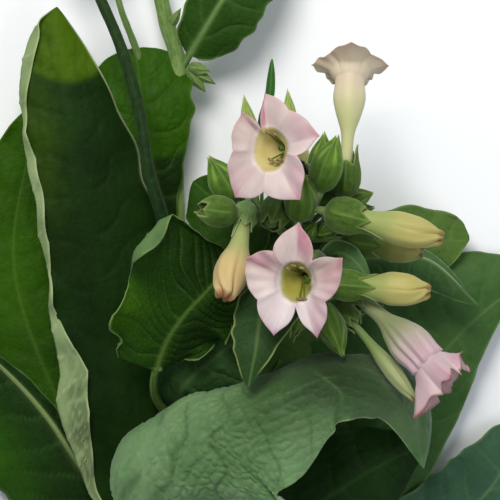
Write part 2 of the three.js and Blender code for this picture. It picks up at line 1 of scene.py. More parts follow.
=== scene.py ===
import bpy
import numpy as np
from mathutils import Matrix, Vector


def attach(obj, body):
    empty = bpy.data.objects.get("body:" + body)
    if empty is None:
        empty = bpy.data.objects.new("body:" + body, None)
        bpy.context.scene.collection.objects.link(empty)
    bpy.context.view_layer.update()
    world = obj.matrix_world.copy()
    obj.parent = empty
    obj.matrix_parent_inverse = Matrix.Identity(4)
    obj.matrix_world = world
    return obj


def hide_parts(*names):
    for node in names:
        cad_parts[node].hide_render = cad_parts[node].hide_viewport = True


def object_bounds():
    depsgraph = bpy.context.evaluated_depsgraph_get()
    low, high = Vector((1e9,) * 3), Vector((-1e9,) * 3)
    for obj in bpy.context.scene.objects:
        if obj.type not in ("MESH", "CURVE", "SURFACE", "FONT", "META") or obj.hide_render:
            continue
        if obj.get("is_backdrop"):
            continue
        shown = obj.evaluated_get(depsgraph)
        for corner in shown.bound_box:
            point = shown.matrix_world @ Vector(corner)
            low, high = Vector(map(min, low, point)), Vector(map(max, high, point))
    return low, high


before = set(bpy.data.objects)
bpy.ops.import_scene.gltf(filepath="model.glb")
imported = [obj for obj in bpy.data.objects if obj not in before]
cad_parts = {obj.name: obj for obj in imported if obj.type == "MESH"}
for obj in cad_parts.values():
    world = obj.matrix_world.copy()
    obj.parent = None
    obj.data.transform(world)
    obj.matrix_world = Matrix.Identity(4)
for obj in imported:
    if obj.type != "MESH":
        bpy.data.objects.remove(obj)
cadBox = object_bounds()
mm = 0.001  # tables and shapes are in millimetres, and Blender is in metres
print("frame loaded:", len(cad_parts), "nodes")

# Camera, floor and light

shot = {
    "eye": (-1.5, 12, 1100), "lens": 198.5, "sensor": 36,
    "floor": "#eef2f7", "floorRoughness": 0.9, "floorReach": 3000,
    "sky": "#eef1f4", "skyStrength": 0.42,
    "keyFrom": (-160, 560, 900), "keyReach": 520, "keyPower": 9.6, "keyTint": "#fffaf2",
    "fillFrom": (500, -300, 900), "fillReach": 600, "fillPower": 2.2, "fillTint": "#f4f6ff",
}


def srgb(text):  # "#rrggbb" as the linear colour that Blender's sockets take
    parts = np.array([int(text[i:i + 2], 16) for i in (1, 3, 5)]) / 255
    line = np.where(parts <= 0.04045, parts / 12.92, ((parts + 0.055) / 1.055) ** 2.4)
    return (*line.tolist(), 1.0)


def areaLight(name):
    place = Vector(shot[name + "From"])
    lamp = bpy.data.lights.new(name, "AREA")
    lamp.shape, lamp.size, lamp.energy = "DISK", shot[name + "Reach"] * mm, shot[name + "Power"]
    lamp.color = srgb(shot[name + "Tint"])[:3]
    holder = bpy.data.objects.new(name, lamp)
    holder.location = place * mm
    holder.rotation_euler = place.to_track_quat("Z", "Y").to_euler()
    bpy.context.scene.collection.objects.link(holder)


def newPaint(name):
    paint = bpy.data.materials.new(name)
    paint.use_nodes = True
    return paint, paint.node_tree, paint.node_tree.nodes["Principled BSDF"]


def setStage():
    scene = bpy.context.scene
    eye = bpy.data.objects.new("camera", bpy.data.cameras.new("camera"))
    eye.location = Vector(shot["eye"]) * mm
    eye.data.lens, eye.data.sensor_width = shot["lens"], shot["sensor"]
    scene.collection.objects.link(eye)
    scene.camera = eye
    scene.view_settings.view_transform = "Standard"
    sky = bpy.data.worlds.new("sky")
    sky.use_nodes = True
    backdrop = sky.node_tree.nodes["Background"]
    backdrop.inputs["Color"].default_value = srgb(shot["sky"])
    backdrop.inputs["Strength"].default_value = shot["skyStrength"]
    scene.world = sky
    areaLight("key")
    areaLight("fill")
    reach = shot["floorReach"] * mm
    corners = [(-reach, -reach, 0), (reach, -reach, 0), (reach, reach, 0), (-reach, reach, 0)]
    sheet = bpy.data.meshes.new("floor")
    sheet.from_pydata(corners, [], [(0, 1, 2, 3)])
    paint, _, shader = newPaint("floor")
    shader.inputs["Base Color"].default_value = srgb(shot["floor"])
    shader.inputs["Roughness"].default_value = shot["floorRoughness"]
    sheet.materials.append(paint)
    floor = bpy.data.objects.new("floor", sheet)
    scene.collection.objects.link(floor)
    floor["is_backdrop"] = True


setStage()
print("camera, floor and light set")

# Small sums that the shapes share

xAxis, zAxis = np.array([1.0, 0, 0]), np.array([0, 0, 1.0])
petals = 5  # also the number of calyx teeth


def shares(count):
    return np.linspace(0, 1, count)


def ringAngles(count):
    return np.arange(count) * 2 * np.pi / count


def unit(v):
    return v / np.maximum(np.linalg.norm(v, axis=-1, keepdims=True), 1e-9)


def lerp(a, b, t):
    return a + (b - a) * t


def ease(x, low, high):  # 0 below low, 1 above high, smooth between
    t = np.clip((x - low) / (high - low), 0, 1)
    return t * t * (3 - 2 * t)


def fall(x, low, high):  # 1 below low, 0 above high, smooth between
    return ease(-x, -high, -low)


def hump(x, width):  # 1 at x = 0, falling to nothing over the width
    return np.exp(-((x / width) ** 2))


def ripples(x, seed, low, high):  # a smooth random line of six waves, with low to high repeats over 0 to 1
    rng = np.random.default_rng(seed)
    waves = [(rng.uniform(low, high), rng.uniform(0, 1)) for _ in range(6)]
    return sum(np.sin(2 * np.pi * (pitch * x + start)) for pitch, start in waves) / np.sqrt(len(waves) / 2)


def lumps(x, y, size, seed):  # a smooth random field with lumps of that size
    rng = np.random.default_rng(seed)
    total, count = 0, 14
    for _ in range(count):
        aim = rng.uniform(0, 2 * np.pi)
        pitch = rng.uniform(0.6, 1.5) / size
        start = rng.uniform(0, 2 * np.pi)
        total = total + np.sin(2 * np.pi * pitch * (x * np.cos(aim) + y * np.sin(aim)) + start)
    return total / np.sqrt(count / 2)


def scatter(i, j, seed):  # a fixed random value from 0 to 1 for each pair of whole numbers
    h = (i * 374761393 + j * 668265263 + seed * 974634777) & 0xFFFFFFFF
    h = ((h ^ (h >> 13)) * 1274126177) & 0xFFFFFFFF
    return ((h ^ (h >> 16)) & 0xFFFF) / 65535


def cells(x, y, seed):  # distances to the nearest and the next of scattered cell middles
    i, j = np.floor(x).astype(np.int64), np.floor(y).astype(np.int64)
    near, after = np.full(x.shape, 9.0), np.full(x.shape, 9.0)
    for a in (-1, 0, 1):
        for b in (-1, 0, 1):
            u, v = i + a, j + b
            away = u + 0.15 + 0.7 * scatter(u, v, seed) - x
            aside = v + 0.15 + 0.7 * scatter(u, v, seed + 7) - y
            d = np.hypot(away, aside)
            after = np.minimum(after, np.maximum(near, d))
            near = np.minimum(near, d)
    return near, after


def curveThrough(points):  # the CAD's smooth curve through points, read at shares 0 to 1
    p = np.array(points, float)
    p = np.vstack([2 * p[0] - p[1], p, 2 * p[-1] - p[-2]])

    def at(t):
        place = np.clip(t, 0, 1) * (len(p) - 3)
        i = np.minimum(np.floor(place).astype(int), len(p) - 4)
        w = (place - i)[..., None]
        a, b, c, d = p[i], p[i + 1], p[i + 2], p[i + 3]
        leave, arrive = (c - a) / 2, (d - b) / 2
        square, cube = 3 * (c - b) - 2 * leave - arrive, 2 * (b - c) + leave + arrive
        return b + w * leave + w**2 * square + w**3 * cube

    return at


def bezier(a, b, c, d):
    def at(t):
        t = np.asarray(t, float)[..., None]
        return (1 - t) ** 3 * a + 3 * (1 - t) ** 2 * t * b + 3 * (1 - t) * t**2 * c + t**3 * d

    return at


def tangentOf(curve, t):
    t = np.asarray(t, float)
    return unit(curve(np.minimum(t + 1e-4, 1)) - curve(np.maximum(t - 1e-4, 0)))


def across(tangent, wanted):  # two directions across a tangent, the first nearest to the wanted one
    side = unit(wanted - (wanted * tangent).sum(-1, keepdims=True) * tangent)
    return side, np.cross(tangent, side)


def lengthAlong(points):
    steps = np.linalg.norm(np.diff(points, axis=0), axis=-1)
    return np.concatenate([[0], np.cumsum(steps)])


def nearestShare(curve, point):  # read at the CAD's own sixty steps
    places = np.arange(61) / 60
    return places[np.argmin(np.linalg.norm(curve(places) - point, axis=-1))]


def profileAt(rows, x):  # a smooth line through rows of [place, value]
    xs, ys = np.array(rows, float).T
    slope = np.gradient(ys, xs)
    i = np.clip(np.searchsorted(xs, x) - 1, 0, len(xs) - 2)
    w = xs[i + 1] - xs[i]
    u = np.clip((x - xs[i]) / w, 0, 1)
    a, b = ys[i], ys[i + 1]
    return (
        a * (1 + 2 * u) * (1 - u) ** 2 + b * u**2 * (3 - 2 * u)
        + w * (slope[i] * u * (1 - u) ** 2 - slope[i + 1] * u**2 * (1 - u))
    )


def through(values, t):  # a value that runs through a short list as t goes from 0 to 1
    if len(values) == 1:
        return np.full(np.shape(t), values[0] * 1.0)
    return np.interp(t, shares(len(values)), values)


# Meshes. A grid is rings of points with marks for its material, closed round each ring and at both ends.

floorGap = 0.1  # the lowest that a point lies above the floor


def gridOf(points, paint=0, **marks):
    return {"points": points, "paint": paint, "marks": marks}


def withEnds(field):  # a grid's rows as one list, with the mean of the first and of the last ring after it
    flat = field.reshape(field.shape[0] * field.shape[1], -1)
    ends = [field[k].reshape(field.shape[1], -1).mean(0) for k in (0, -1)]
    return np.vstack([flat, *ends])


def meshOf(name, grids, paints):
    points, fours, threes, fourPaint, threePaint, marks, used = [], [], [], [], [], {}, 0
    names = {key: np.ndim(value) for grid in grids for key, value in grid["marks"].items()}
    for grid in grids:
        rows, cols = grid["points"].shape[:2]
        here = used + np.arange(rows * cols).reshape(rows, cols)
        beside = np.roll(here, -1, 1)
        quads = np.stack([here[:-1], beside[:-1], beside[1:], here[1:]], -1).reshape(-1, 4)
        foot, tip = used + rows * cols, used + rows * cols + 1
        ends = np.concatenate([
            np.stack([np.full(cols, foot), beside[0], here[0]], -1),
            np.stack([np.full(cols, tip), here[-1], beside[-1]], -1),
        ])
        flatPoints = withEnds(grid["points"])
        flatPoints[:, 2] = np.maximum(flatPoints[:, 2], floorGap)
        q = flatPoints[quads - used]
        volume = (q[:, 0] * (np.cross(q[:, 1], q[:, 2]) + np.cross(q[:, 2], q[:, 3]))).sum()
        if volume < 0:  # faces turned so that they look outwards
            quads, ends = quads[:, ::-1], ends[:, ::-1]
        points.append(flatPoints)
        fours.append(quads)
        threes.append(ends)
        fourPaint.append(np.full(len(quads), grid["paint"]))
        threePaint.append(np.full(len(ends), grid["paint"]))
        for key, depth in names.items():
            shape = (rows, cols, 3) if depth == 3 else (rows, cols)
            value = np.broadcast_to(grid["marks"].get(key, 0.0), shape)
            marks.setdefault(key, []).append(withEnds(value))
        used += len(flatPoints)
    fours, threes = np.concatenate(fours), np.concatenate(threes)
    starts = [np.arange(len(fours)) * 4, fours.size + np.arange(len(threes)) * 3]
    mesh = bpy.data.meshes.new(name)
    mesh.vertices.add(used)
    mesh.vertices.foreach_set("co", (np.concatenate(points) * mm).ravel())
    mesh.loops.add(fours.size + threes.size)
    mesh.loops.foreach_set("vertex_index", np.concatenate([fours.ravel(), threes.ravel()]))
    mesh.polygons.add(len(fours) + len(threes))
    mesh.polygons.foreach_set("loop_start", np.concatenate(starts))
    mesh.polygons.foreach_set("material_index", np.concatenate(fourPaint + threePaint))
    mesh.polygons.foreach_set("use_smooth", np.ones(len(fours) + len(threes), bool))
    mesh.update(calc_edges=True)
    mesh.validate()
    for key, depth in names.items():
        kind, field = ("FLOAT_VECTOR", "vector") if depth == 3 else ("FLOAT", "value")
        values = np.concatenate(marks[key]).ravel()
        mesh.attributes.new(key, kind, "POINT").data.foreach_set(field, values)
    for paint in paints:
        mesh.materials.append(paint)
    return mesh


def pieceName(node, ending=""):
    first, *others = node.split("_")
    return first + "".join(word.capitalize() for word in others) + ending


def addPiece(node, grids, paints, ending=""):  # a piece stands for its node, or adds to it
    name = pieceName(node, ending)
    piece = bpy.data.objects.new(name, meshOf(name, grids, paints))
    bpy.context.scene.collection.objects.link(piece)
    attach(piece, "root")
    if not ending:
        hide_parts(node)


# Node tools


def put(tree, kind, inputs, **settings):
    made = tree.nodes.new("ShaderNode" + kind)
    for key, value in settings.items():
        setattr(made, key, value)
    for key, value in inputs.items():
        if isinstance(value, bpy.types.NodeSocket):
            tree.links.new(value, made.inputs[key])
        else:
            made.inputs[key].default_value = value
    return made


def blend(tree, mask, a, b, how="MIX"):
    return put(tree, "Mix", {0: mask, 6: a, 7: b}, data_type="RGBA", blend_type=how).outputs[2]


def layered(tree, tone, given, layers):  # colours laid over a tone in turn, each by its own mask
    for mask, colour in layers.items():
        tone = blend(tree, given[mask], tone, given[colour])
    return tone


def calc(tree, how, a, b=0.0, c=0.0, clamp=False):
    return put(tree, "Math", {0: a, 1: b, 2: c}, operation=how, use_clamp=clamp).outputs[0]


def spread(tree, value, low, high, toLow=0.0, toHigh=1.0):
    return put(tree, "MapRange", {0: value, 1: low, 2: high, 3: toLow, 4: toHigh}).outputs[0]


def noise(tree, place, scale, detail):
    inputs = {"Vector": place, "Scale": scale, "Detail": detail, "Roughness": 0.55}
    return put(tree, "TexNoise", inputs).outputs["Fac"]


def netOf(tree, place, scale, **inputs):  # distance to the nearest wall of a random net
    inputs = {"Vector": place, "Scale": scale, **inputs}
    return put(tree, "TexVoronoi", inputs, feature="DISTANCE_TO_EDGE").outputs["Distance"]


def objectPlace(tree):
    return put(tree, "TexCoord", {}).outputs["Object"]


def mark(tree, name, field="Fac"):
    return put(tree, "Attribute", {}, attribute_name=name).outputs[field]


# Shader groups. A skin has colours, masks with the mesh marks behind them, plain numbers and a place.

skins = {
    "leafTone": {
        "colours": ["Blade", "Shade", "Glow", "Vein", "Rib", "Margin", "Underside"],
        "masks": {
            "Rib Mask": "rib", "Vein Mask": "vein", "Edge Mask": "edge", "Under Mask": "beneath",
            # painted light where a leaf is lit, and painted shade in its hollows and shaded spots
            "Painted Light Mask": "glow", "Shade Mask": "hollow",
        },
        "numbers": ["Net", "Lines"], "place": "Place",
    },
    "downySkin": {
        "colours": ["Skin", "Shade", "Ridge", "Edge", "Inside"],
        "masks": {"Ridge Mask": "ridge", "Edge Mask": "edge", "Inside Mask": "inside", "Foot Mask": "foot"},
        "numbers": ["Streaks"], "place": "Round",
    },
    "petalTone": {
        "colours": ["Petal", "Blush", "Dusk", "Tube", "Throat", "Deep", "Rim"],
        "masks": {
            "Blush And Shade Mask": "blush", "Painted Shade Mask": "dusk", "Tube Mask": "tube", "Throat Mask": "throat",
            "Deep Mask": "deep", "Rim Mask": "rim",
        },
        "numbers": [], "place": "Round",
    },
}


def groupOf(name):  # a new node group with its skin's named sockets
    skin = skins[name]
    floats = [*skin["masks"], *skin["numbers"]]
    inputs = {"Color": skin["colours"], "Float": floats, "Vector": [skin["place"]]}
    outputs = {"Color": ["Color"], "Float": ["Height", "Roughness"]}
    tree = bpy.data.node_groups.new(name, "ShaderNodeTree")
    for way, sockets in (("INPUT", inputs), ("OUTPUT", outputs)):
        for kind, names in sockets.items():
            for one in names:
                tree.interface.new_socket(one, in_out=way, socket_type="NodeSocket" + kind)
    given = tree.nodes.new("NodeGroupInput").outputs
    out = tree.nodes.new("NodeGroupOutput").inputs
    return tree, given, given[skin["place"]], out


def giveOut(tree, out, tone, height, roughness):
    for key, value in {"Color": tone, "Height": height, "Roughness": roughness}.items():
        tree.links.new(value, out[key])
    return tree


# Leaf colour: broad mottling, painted light where a leaf is lit, painted shade in its hollows and shaded
# spots, a net of veins, ribs, margin and pale underside.
def leafToneGroup():
    tree, given, place, out = groupOf("leafTone")
    broad = noise(tree, place, 0.35, 2)
    small = noise(tree, place, 2.6, 4)
    grain = noise(tree, place, 26, 2)
    net = netOf(tree, place, given["Net"], Randomness=0.9)
    fineNet = netOf(tree, place, calc(tree, "MULTIPLY", given["Net"], 2.7))
    lines = spread(tree, net, 0.0, 0.09, 1.0, 0.0)
    fineLines = spread(tree, fineNet, 0.0, 0.12, 1.0, 0.0)
    weak = calc(tree, "MULTIPLY", given["Lines"], 0.4)
    tone = blend(tree, spread(tree, broad, 0.38, 0.66), given["Blade"], given["Shade"])
    tone = layered(tree, tone, given, {"Painted Light Mask": "Glow", "Shade Mask": "Shade"})
    freckles = calc(tree, "MULTIPLY", spread(tree, small, 0.42, 0.75), 0.2)
    tone = blend(tree, freckles, tone, given["Vein"], "SOFT_LIGHT")
    tone = blend(tree, calc(tree, "MULTIPLY", lines, given["Lines"]), tone, given["Vein"])
    tone = blend(tree, calc(tree, "MULTIPLY", fineLines, weak), tone, given["Vein"])
    tone = layered(tree, tone, given, {"Vein Mask": "Vein"})
    below = blend(tree, calc(tree, "MULTIPLY", lines, 0.12), given["Underside"], given["Rib"])
    patches = calc(tree, "MULTIPLY", spread(tree, broad, 0.35, 0.7), 0.35)
    below = blend(tree, patches, below, given["Blade"])
    tone = blend(tree, given["Under Mask"], tone, below)
    tone = layered(tree, tone, given, {"Edge Mask": "Margin", "Rib Mask": "Rib"})
    height = calc(tree, "MULTIPLY_ADD", net, 1.4, calc(tree, "MULTIPLY", fineNet, 0.7))
    height = calc(tree, "MULTIPLY_ADD", grain, 0.25, height)
    return giveOut(tree, out, tone, height, spread(tree, small, 0.3, 0.7, 0.44, 0.62))


# Downy green skin of stems, calyxes and buds: streaks along the growth, spots and fine hair.
def downGroup():
    tree, given, place, out = groupOf("downySkin")
    at = objectPlace(tree)
    spots = noise(tree, at, 420, 3)
    hair = noise(tree, at, 2600, 2)
    longWise = noise(tree, place, given["Streaks"], 4)
    tone = blend(tree, spread(tree, longWise, 0.35, 0.68), given["Skin"], given["Shade"])
    tone = blend(tree, calc(tree, "MULTIPLY", spread(tree, spots, 0.45, 0.7), 0.3), tone, given["Ridge"])
    tone = layered(tree, tone, given, {
        "Foot Mask": "Ridge", "Ridge Mask": "Ridge", "Edge Mask": "Edge", "Inside Mask": "Inside",
    })
    height = calc(tree, "MULTIPLY_ADD", hair, 0.6, longWise)
    return giveOut(tree, out, tone, height, spread(tree, spots, 0.3, 0.7, 0.5, 0.68))


# Petal colour: a pale blade with a blush that is partly painted shade, painted shade on petals turned from the
# light, radial streaks, a yellow-green throat and a creamy tube.
def petalGroup():
    tree, given, place, out = groupOf("petalTone")
    streaks = noise(tree, place, 9, 5)
    soft = noise(tree, place, 2.2, 2)
    grain = noise(tree, objectPlace(tree), 1700, 2)
    uneven = spread(tree, soft, 0.35, 0.7, -0.12, 0.1)
    blush = calc(tree, "MULTIPLY_ADD", uneven, 1.0, given["Blush And Shade Mask"], clamp=True)
    veins = calc(tree, "MULTIPLY", spread(tree, streaks, 0.42, 0.62), 0.08)
    tone = blend(tree, blush, given["Petal"], given["Blush"])
    tone = blend(tree, veins, tone, given["Blush"])
    # painted shade multiplied over the petals turned from the light
    tone = blend(tree, given["Painted Shade Mask"], tone, given["Dusk"], "MULTIPLY")
    tone = layered(tree, tone, given, {
        "Tube Mask": "Tube", "Throat Mask": "Throat", "Deep Mask": "Deep", "Rim Mask": "Rim",
    })
    height = calc(tree, "MULTIPLY_ADD", grain, 0.3, streaks)
    return giveOut(tree, out, tone, height, spread(tree, soft, 0.3, 0.7, 0.42, 0.58))


groups = {"leafTone": leafToneGroup(), "downySkin": downGroup(), "petalTone": petalGroup()}


def addRelief(tree, shader, height, strength, lift):
    inputs = {"Strength": strength, "Distance": lift * mm, "Height": height}
    tree.links.new(put(tree, "Bump", inputs).outputs["Normal"], shader.inputs["Normal"])


def finishOf(name, group, look, numbers, shine, bump, lift):
    skin = skins[group]
    paint, tree, shader = newPaint(name)
    made = tree.nodes.new("ShaderNodeGroup")
    made.node_tree = groups[group]
    for key, value in numbers.items():
        made.inputs[key].default_value = value
    for key in skin["colours"]:
        made.inputs[key].default_value = srgb(look[key.lower()])
    for key, source in skin["masks"].items():
        tree.links.new(mark(tree, source), made.inputs[key])
    tree.links.new(mark(tree, skin["place"].lower(), "Vector"), made.inputs[skin["place"]])
    tree.links.new(made.outputs["Color"], shader.inputs["Base Color"])
    tree.links.new(made.outputs["Roughness"], shader.inputs["Roughness"])
    addRelief(tree, shader, made.outputs["Height"], bump, lift)
    for key, value in shine.items():
        shader.inputs[key].default_value = value
    return paint


def leafFinish(name, look):
    shine = {
        "Sheen Weight": look.get("sheen", 0.0), "Sheen Roughness": 0.5,
        "Specular IOR Level": look.get("gloss", 0.07),
    }
    return finishOf(name, "leafTone", look, {"Net": 3.4, "Lines": 0.05}, shine, look.get("bump", 0.4), 0.5)


def downFinish(name, look):
    shine = {"Sheen Weight": look.get("sheen", 0.25), "Sheen Roughness": 0.4, "Specular IOR Level": 0.12}
    return finishOf(name, "downySkin", look, {"Streaks": look.get("streaks", 3.0)}, shine, 0.7, 0.3)


def petalFinish(name, look):
    shine = {
        "Sheen Weight": 0.2, "Sheen Roughness": 0.4, "Specular IOR Level": 0.3,
        "Subsurface Weight": 0.15, "Subsurface Scale": 0.001, "Subsurface Radius": (1.0, 0.8, 0.5),
    }
    return finishOf(name, "petalTone", {"dusk": "#c5b5ac", **look}, {}, shine, 0.4, 0.25)


def plainFinish(name, colour, dark, roughness):  # small parts inside a flower, with fine grain
    paint, tree, shader = newPaint(name)
    grain = noise(tree, objectPlace(tree), 1500, 3)
    tone = blend(tree, spread(tree, grain, 0.35, 0.65), srgb(colour), srgb(dark))
    tree.links.new(tone, shader.inputs["Base Color"])
    addRelief(tree, shader, grain, 0.5, 0.2)
    shader.inputs["Roughness"].default_value = roughness
    shader.inputs["Specular IOR Level"].default_value = 0.2
    return paint


print("shader groups built")

# Stems. The routes, radii and tufts are the CAD's own, and the rest is how the skin looks.

greens = {
    "greenStem": {
        "skin": "#6a8646", "shade": "#4a6630", "ridge": "#86a060", "edge": "#728c48", "inside": "#c9d3a0",
        "streaks": 5.0,
    },
    "darkStem": {
        "skin": "#1f3a16", "shade": "#12260d", "ridge": "#34522a", "edge": "#38562a", "inside": "#8a9a6a",
        "sheen": 0.05, "streaks": 5.0,
    },
    "calyxGreen": {
        "skin": "#476221", "shade": "#344f18", "ridge": "#66833c", "edge": "#7d944b", "inside": "#84985a",
    },
    "capGreen": {
        "skin": "#7c9c5c", "shade": "#5f8344", "ridge": "#93b070", "edge": "#a5b67c", "inside": "#a3b47c",
    },
    "budGreen": {
        "skin": "#4a6c22", "shade": "#345215", "ridge": "#678a38", "edge": "#84a043", "inside": "#86a058",
    },
    "youngBudGreen": {
        "skin": "#7f9a48", "shade": "#628036", "ridge": "#9bb25e", "edge": "#b4bd6a", "inside": "#a9bd76",
    },
}
stems = {
    "main_stem": {
        "route": [
            [-20, -147, 4.7], [-23.5, -105, 6], [-26, -59.5, 8], [-27.5, -15.5, 8], [-31, 28, 10],
            [-31.5, 63.5, 12], [-30, 85.5, 14], [-34.5, 102, 13], [-38.5, 120.5, 10.5], [-41, 135, 7],
        ],
        "radius": [4.6, 2.6], "sides": 32, "tuft": 3,
    },
    "left_branch": {
        "route": [
            [-27, -19.5, 8], [-34, 19, 33], [-40.5, 42, 39], [-44, 65, 40],
            [-51, 89.5, 40], [-59, 108.5, 38], [-66.5, 125.5, 30],
        ],
        "radius": [2.6, 2], "sides": 24, "tuft": 3, "green": "darkStem",
    },
    "slim_branch": {
        "route": [[-29, 30, 11], [-37, 60.5, 9], [-46, 90, 16], [-52, 106.5, 24], [-55.5, 122.5, 22]],
        "radius": [1.7, 1.1], "sides": 16, "tuft": 2,
    },
    "flower_branch": {
        "route": [[-26.5, -75, 8], [-15.5, -43.5, 24], [-0.5, -14.5, 35], [14, 7.5, 45], [21, 26.5, 54]],
        "radius": [3.6, 2.1], "sides": 24,
    },
    "left_twig": {"route": [[16.5, 13.5, 48], [8.5, 21, 54], [1, 27, 56]], "radius": [1.9, 1.4], "sides": 16},
    "right_twig": {"route": [[9.5, 1.5, 43], [19, 2, 47], [28, 3.5, 50]], "radius": [1.9, 1.4], "sides": 16},
}
stemShape = {
    "step": 1.6, "nodeSwell": 0.16, "nodeReach": 4, "unevenness": 0.03, "unevenWaves": (3, 14), "ribs": 0.02,
    "cutStep": [0.02, 0, 0.1], "cutRadius": [0.62, 0.9, 0.985], "cutShows": [1, 0.6, 0],  # the cut end
    "stalkRadius": 1.15, "stalkSetBack": 0.13, "stalkSides": 14, "stalkRows": 26, "stalkRibs": 0.03,
    "gap": 0.35, "stalkInto": 1.2, "flare": 0.35, "flareReach": 0.12, "footSwell": 0.3, "footReach": 0.15,
    "tuftLength": 13.5, "tuftSize": 0.5, "tuftLean": 0.9, "tuftSink": 0.5, "tuftTurn": 0.5,
}
stemCurves = {name: curveThrough(stem["route"]) for name, stem in stems.items()}


def roundMark(angles, along):  # a place round and along a limb or a bloom, for streaks
    a, d = np.broadcast_arrays(angles, along)
    return np.stack([np.cos(a), np.sin(a), d], -1)


def tubeGrid(points, radii, sides, paint=0, ribs=0.0, **marks):  # an untwisted round limb with five low ribs
    tangents, angles = unit(np.gradient(points, axis=0)), ringAngles(sides)
    side = across(tangents[0], zAxis if abs(tangents[0][2]) < 0.9 else xAxis)[0]
    rings = []
    for centre, tangent, radius in zip(points, tangents, np.broadcast_to(radii, len(points))):
        side, up = across(tangent, side)
        bulge = radius * (1 + ribs * np.cos(5 * angles))
        turned = np.cos(angles)[:, None] * side + np.sin(angles)[:, None] * up
        rings.append(centre + bulge[:, None] * turned)
    along = lengthAlong(points)[:, None] * np.ones(sides)
    marks = {key: np.broadcast_to(np.reshape(value, (-1, 1)), along.shape) for key, value in marks.items()}
    return gridOf(np.array(rings), paint, round=roundMark(angles, along * 0.03), **marks)


def blobGrid(centre, axis, half, wide, sides=16, rows=11, paint=0, **marks):  # an egg along an axis
    endGap = 0.08  # the turn that is left open at each end, in radians
    angles = np.linspace(endGap, np.pi - endGap, rows)
    points = centre - np.cos(angles)[:, None] * unit(axis) * half
    return tubeGrid(points, np.sin(angles) * wide, sides, paint, **marks)


def limbGrid(name, stem):
    curve = stemCurves[name]
    length = lengthAlong(curve(shares(200)))[-1]
    t = shares(int(length / stemShape["step"]) + 2)
    points = curve(t)
    radii = lerp(*stem["radius"], t)
    feet = [leaf["rib"][0] for leaf in leaves.values() if leaf["on"] == name]
    feet += [other["route"][0] for other in stems.values() if other is not stem]
    swell = np.zeros(len(t))
    for foot in feet:
        away = np.linalg.norm(points - np.array(foot), axis=-1)
        swell = np.maximum(swell, hump(away, stemShape["nodeReach"]))
    uneven = stemShape["unevenness"] * ripples(t, len(name), *stemShape["unevenWaves"])
    radii = radii * (1 + stemShape["nodeSwell"] * swell + uneven)
    aim = unit(points[1] - points[0])
    points = np.vstack([*(points[0] + aim * step for step in stemShape["cutStep"]), points[1:]])
    radii = np.concatenate([np.array(stemShape["cutRadius"]) * radii[0], radii[1:]])
    inside = np.concatenate([stemShape["cutShows"], np.zeros(len(t) - 1)])
    foot = np.concatenate([[0, 0], swell * 0.5])
    return tubeGrid(points, radii, stem["sides"], ribs=stemShape["ribs"], inside=inside, foot=foot)


def stalkGrid(bloom, line):  # the CAD's stalk, with a flare under the calyx
    twig = stemCurves[bloom["on"]]
    aim = tangentOf(line["curve"], 0)
    end = line["curve"](0) - 1.1 * stemShape["gap"] * aim
    start = max(0, nearestShare(twig, end) - stemShape["stalkSetBack"])
    root = twig(np.array(start))
    third = np.linalg.norm(root - end) / 3
    path = bezier(root, root + 0.6 * third * tangentOf(twig, start), end - third * aim, end)
    t = shares(stemShape["stalkRows"])
    points = np.vstack([path(t), end + aim * stemShape["stalkInto"]])
    t = np.append(t, 1)
    flare = stemShape["flare"] * hump(1 - t, stemShape["flareReach"])
    radii = stemShape["stalkRadius"] * (1 + flare + stemShape["footSwell"] * hump(t, stemShape["footReach"]))
    foot = 0.5 * hump(1 - t, 0.1)
    return tubeGrid(points, radii, stemShape["stalkSides"], ribs=stemShape["stalkRibs"], foot=foot)


# Blooms. Kind, foot, mouth, facing, turn, size, girth, full, spread and lobes are the CAD's own.
# teeth: length of each calyx tooth against the usual. close and neck: how far the calyx's mouth and the shut
# tube's foot draw in or widen. blunt: how much fuller a shut tip is. hollow: the way, in degrees, and the
# millimetres that an open bowl lies off its middle. tints, dims and leans: for each petal, the blush on
# one side of its crease, partly its own pink and partly painted shade of the fold, the painted shade of a
# petal turned from the light, and the millimetres that it bends forward. vee, sinusRise and reflex: the
# millimetres that creases, notches and tips rise or bend back. anthers and stigma: [degrees, millimetres out,
# millimetres up].

oliveBud = {
    "petal": "#8a8c48", "blush": "#94883f", "tube": "#6f7f3c", "throat": "#6a5426", "deep": "#6a5426",
    "rim": "#5f4424",
}
greenBud = {
    "petal": "#aaa460", "blush": "#9c8440", "tube": "#8c9a58", "throat": "#76591f", "deep": "#76591f",
    "rim": "#80602a",
}
openPetal = {
    "petal": "#d6cbcb", "blush": "#c08ba0", "tube": "#b9ba86", "throat": "#b9ab6c", "deep": "#b0a458",
    "rim": "#cba0a8",
}
usualBloom = {
    "kind": "bud", "on": "flower_branch", "size": 1, "girth": 1, "full": 1, "turn": 0, "spread": 1,
    "look": greenBud, "teeth": [1] * petals, "close": 1, "neck": 1, "blunt": 0, "wilt": 0,
    "hollow": [0, 0], "throatReach": 7,
    "tints": [0.3, -0.3, 0.3, -0.3, 0.3], "dims": [0] * petals, "leans": [0] * petals, "rimWidth": 0.04,
    "vee": 2.6, "sinusRise": 0.5, "reflex": 1.6,
}
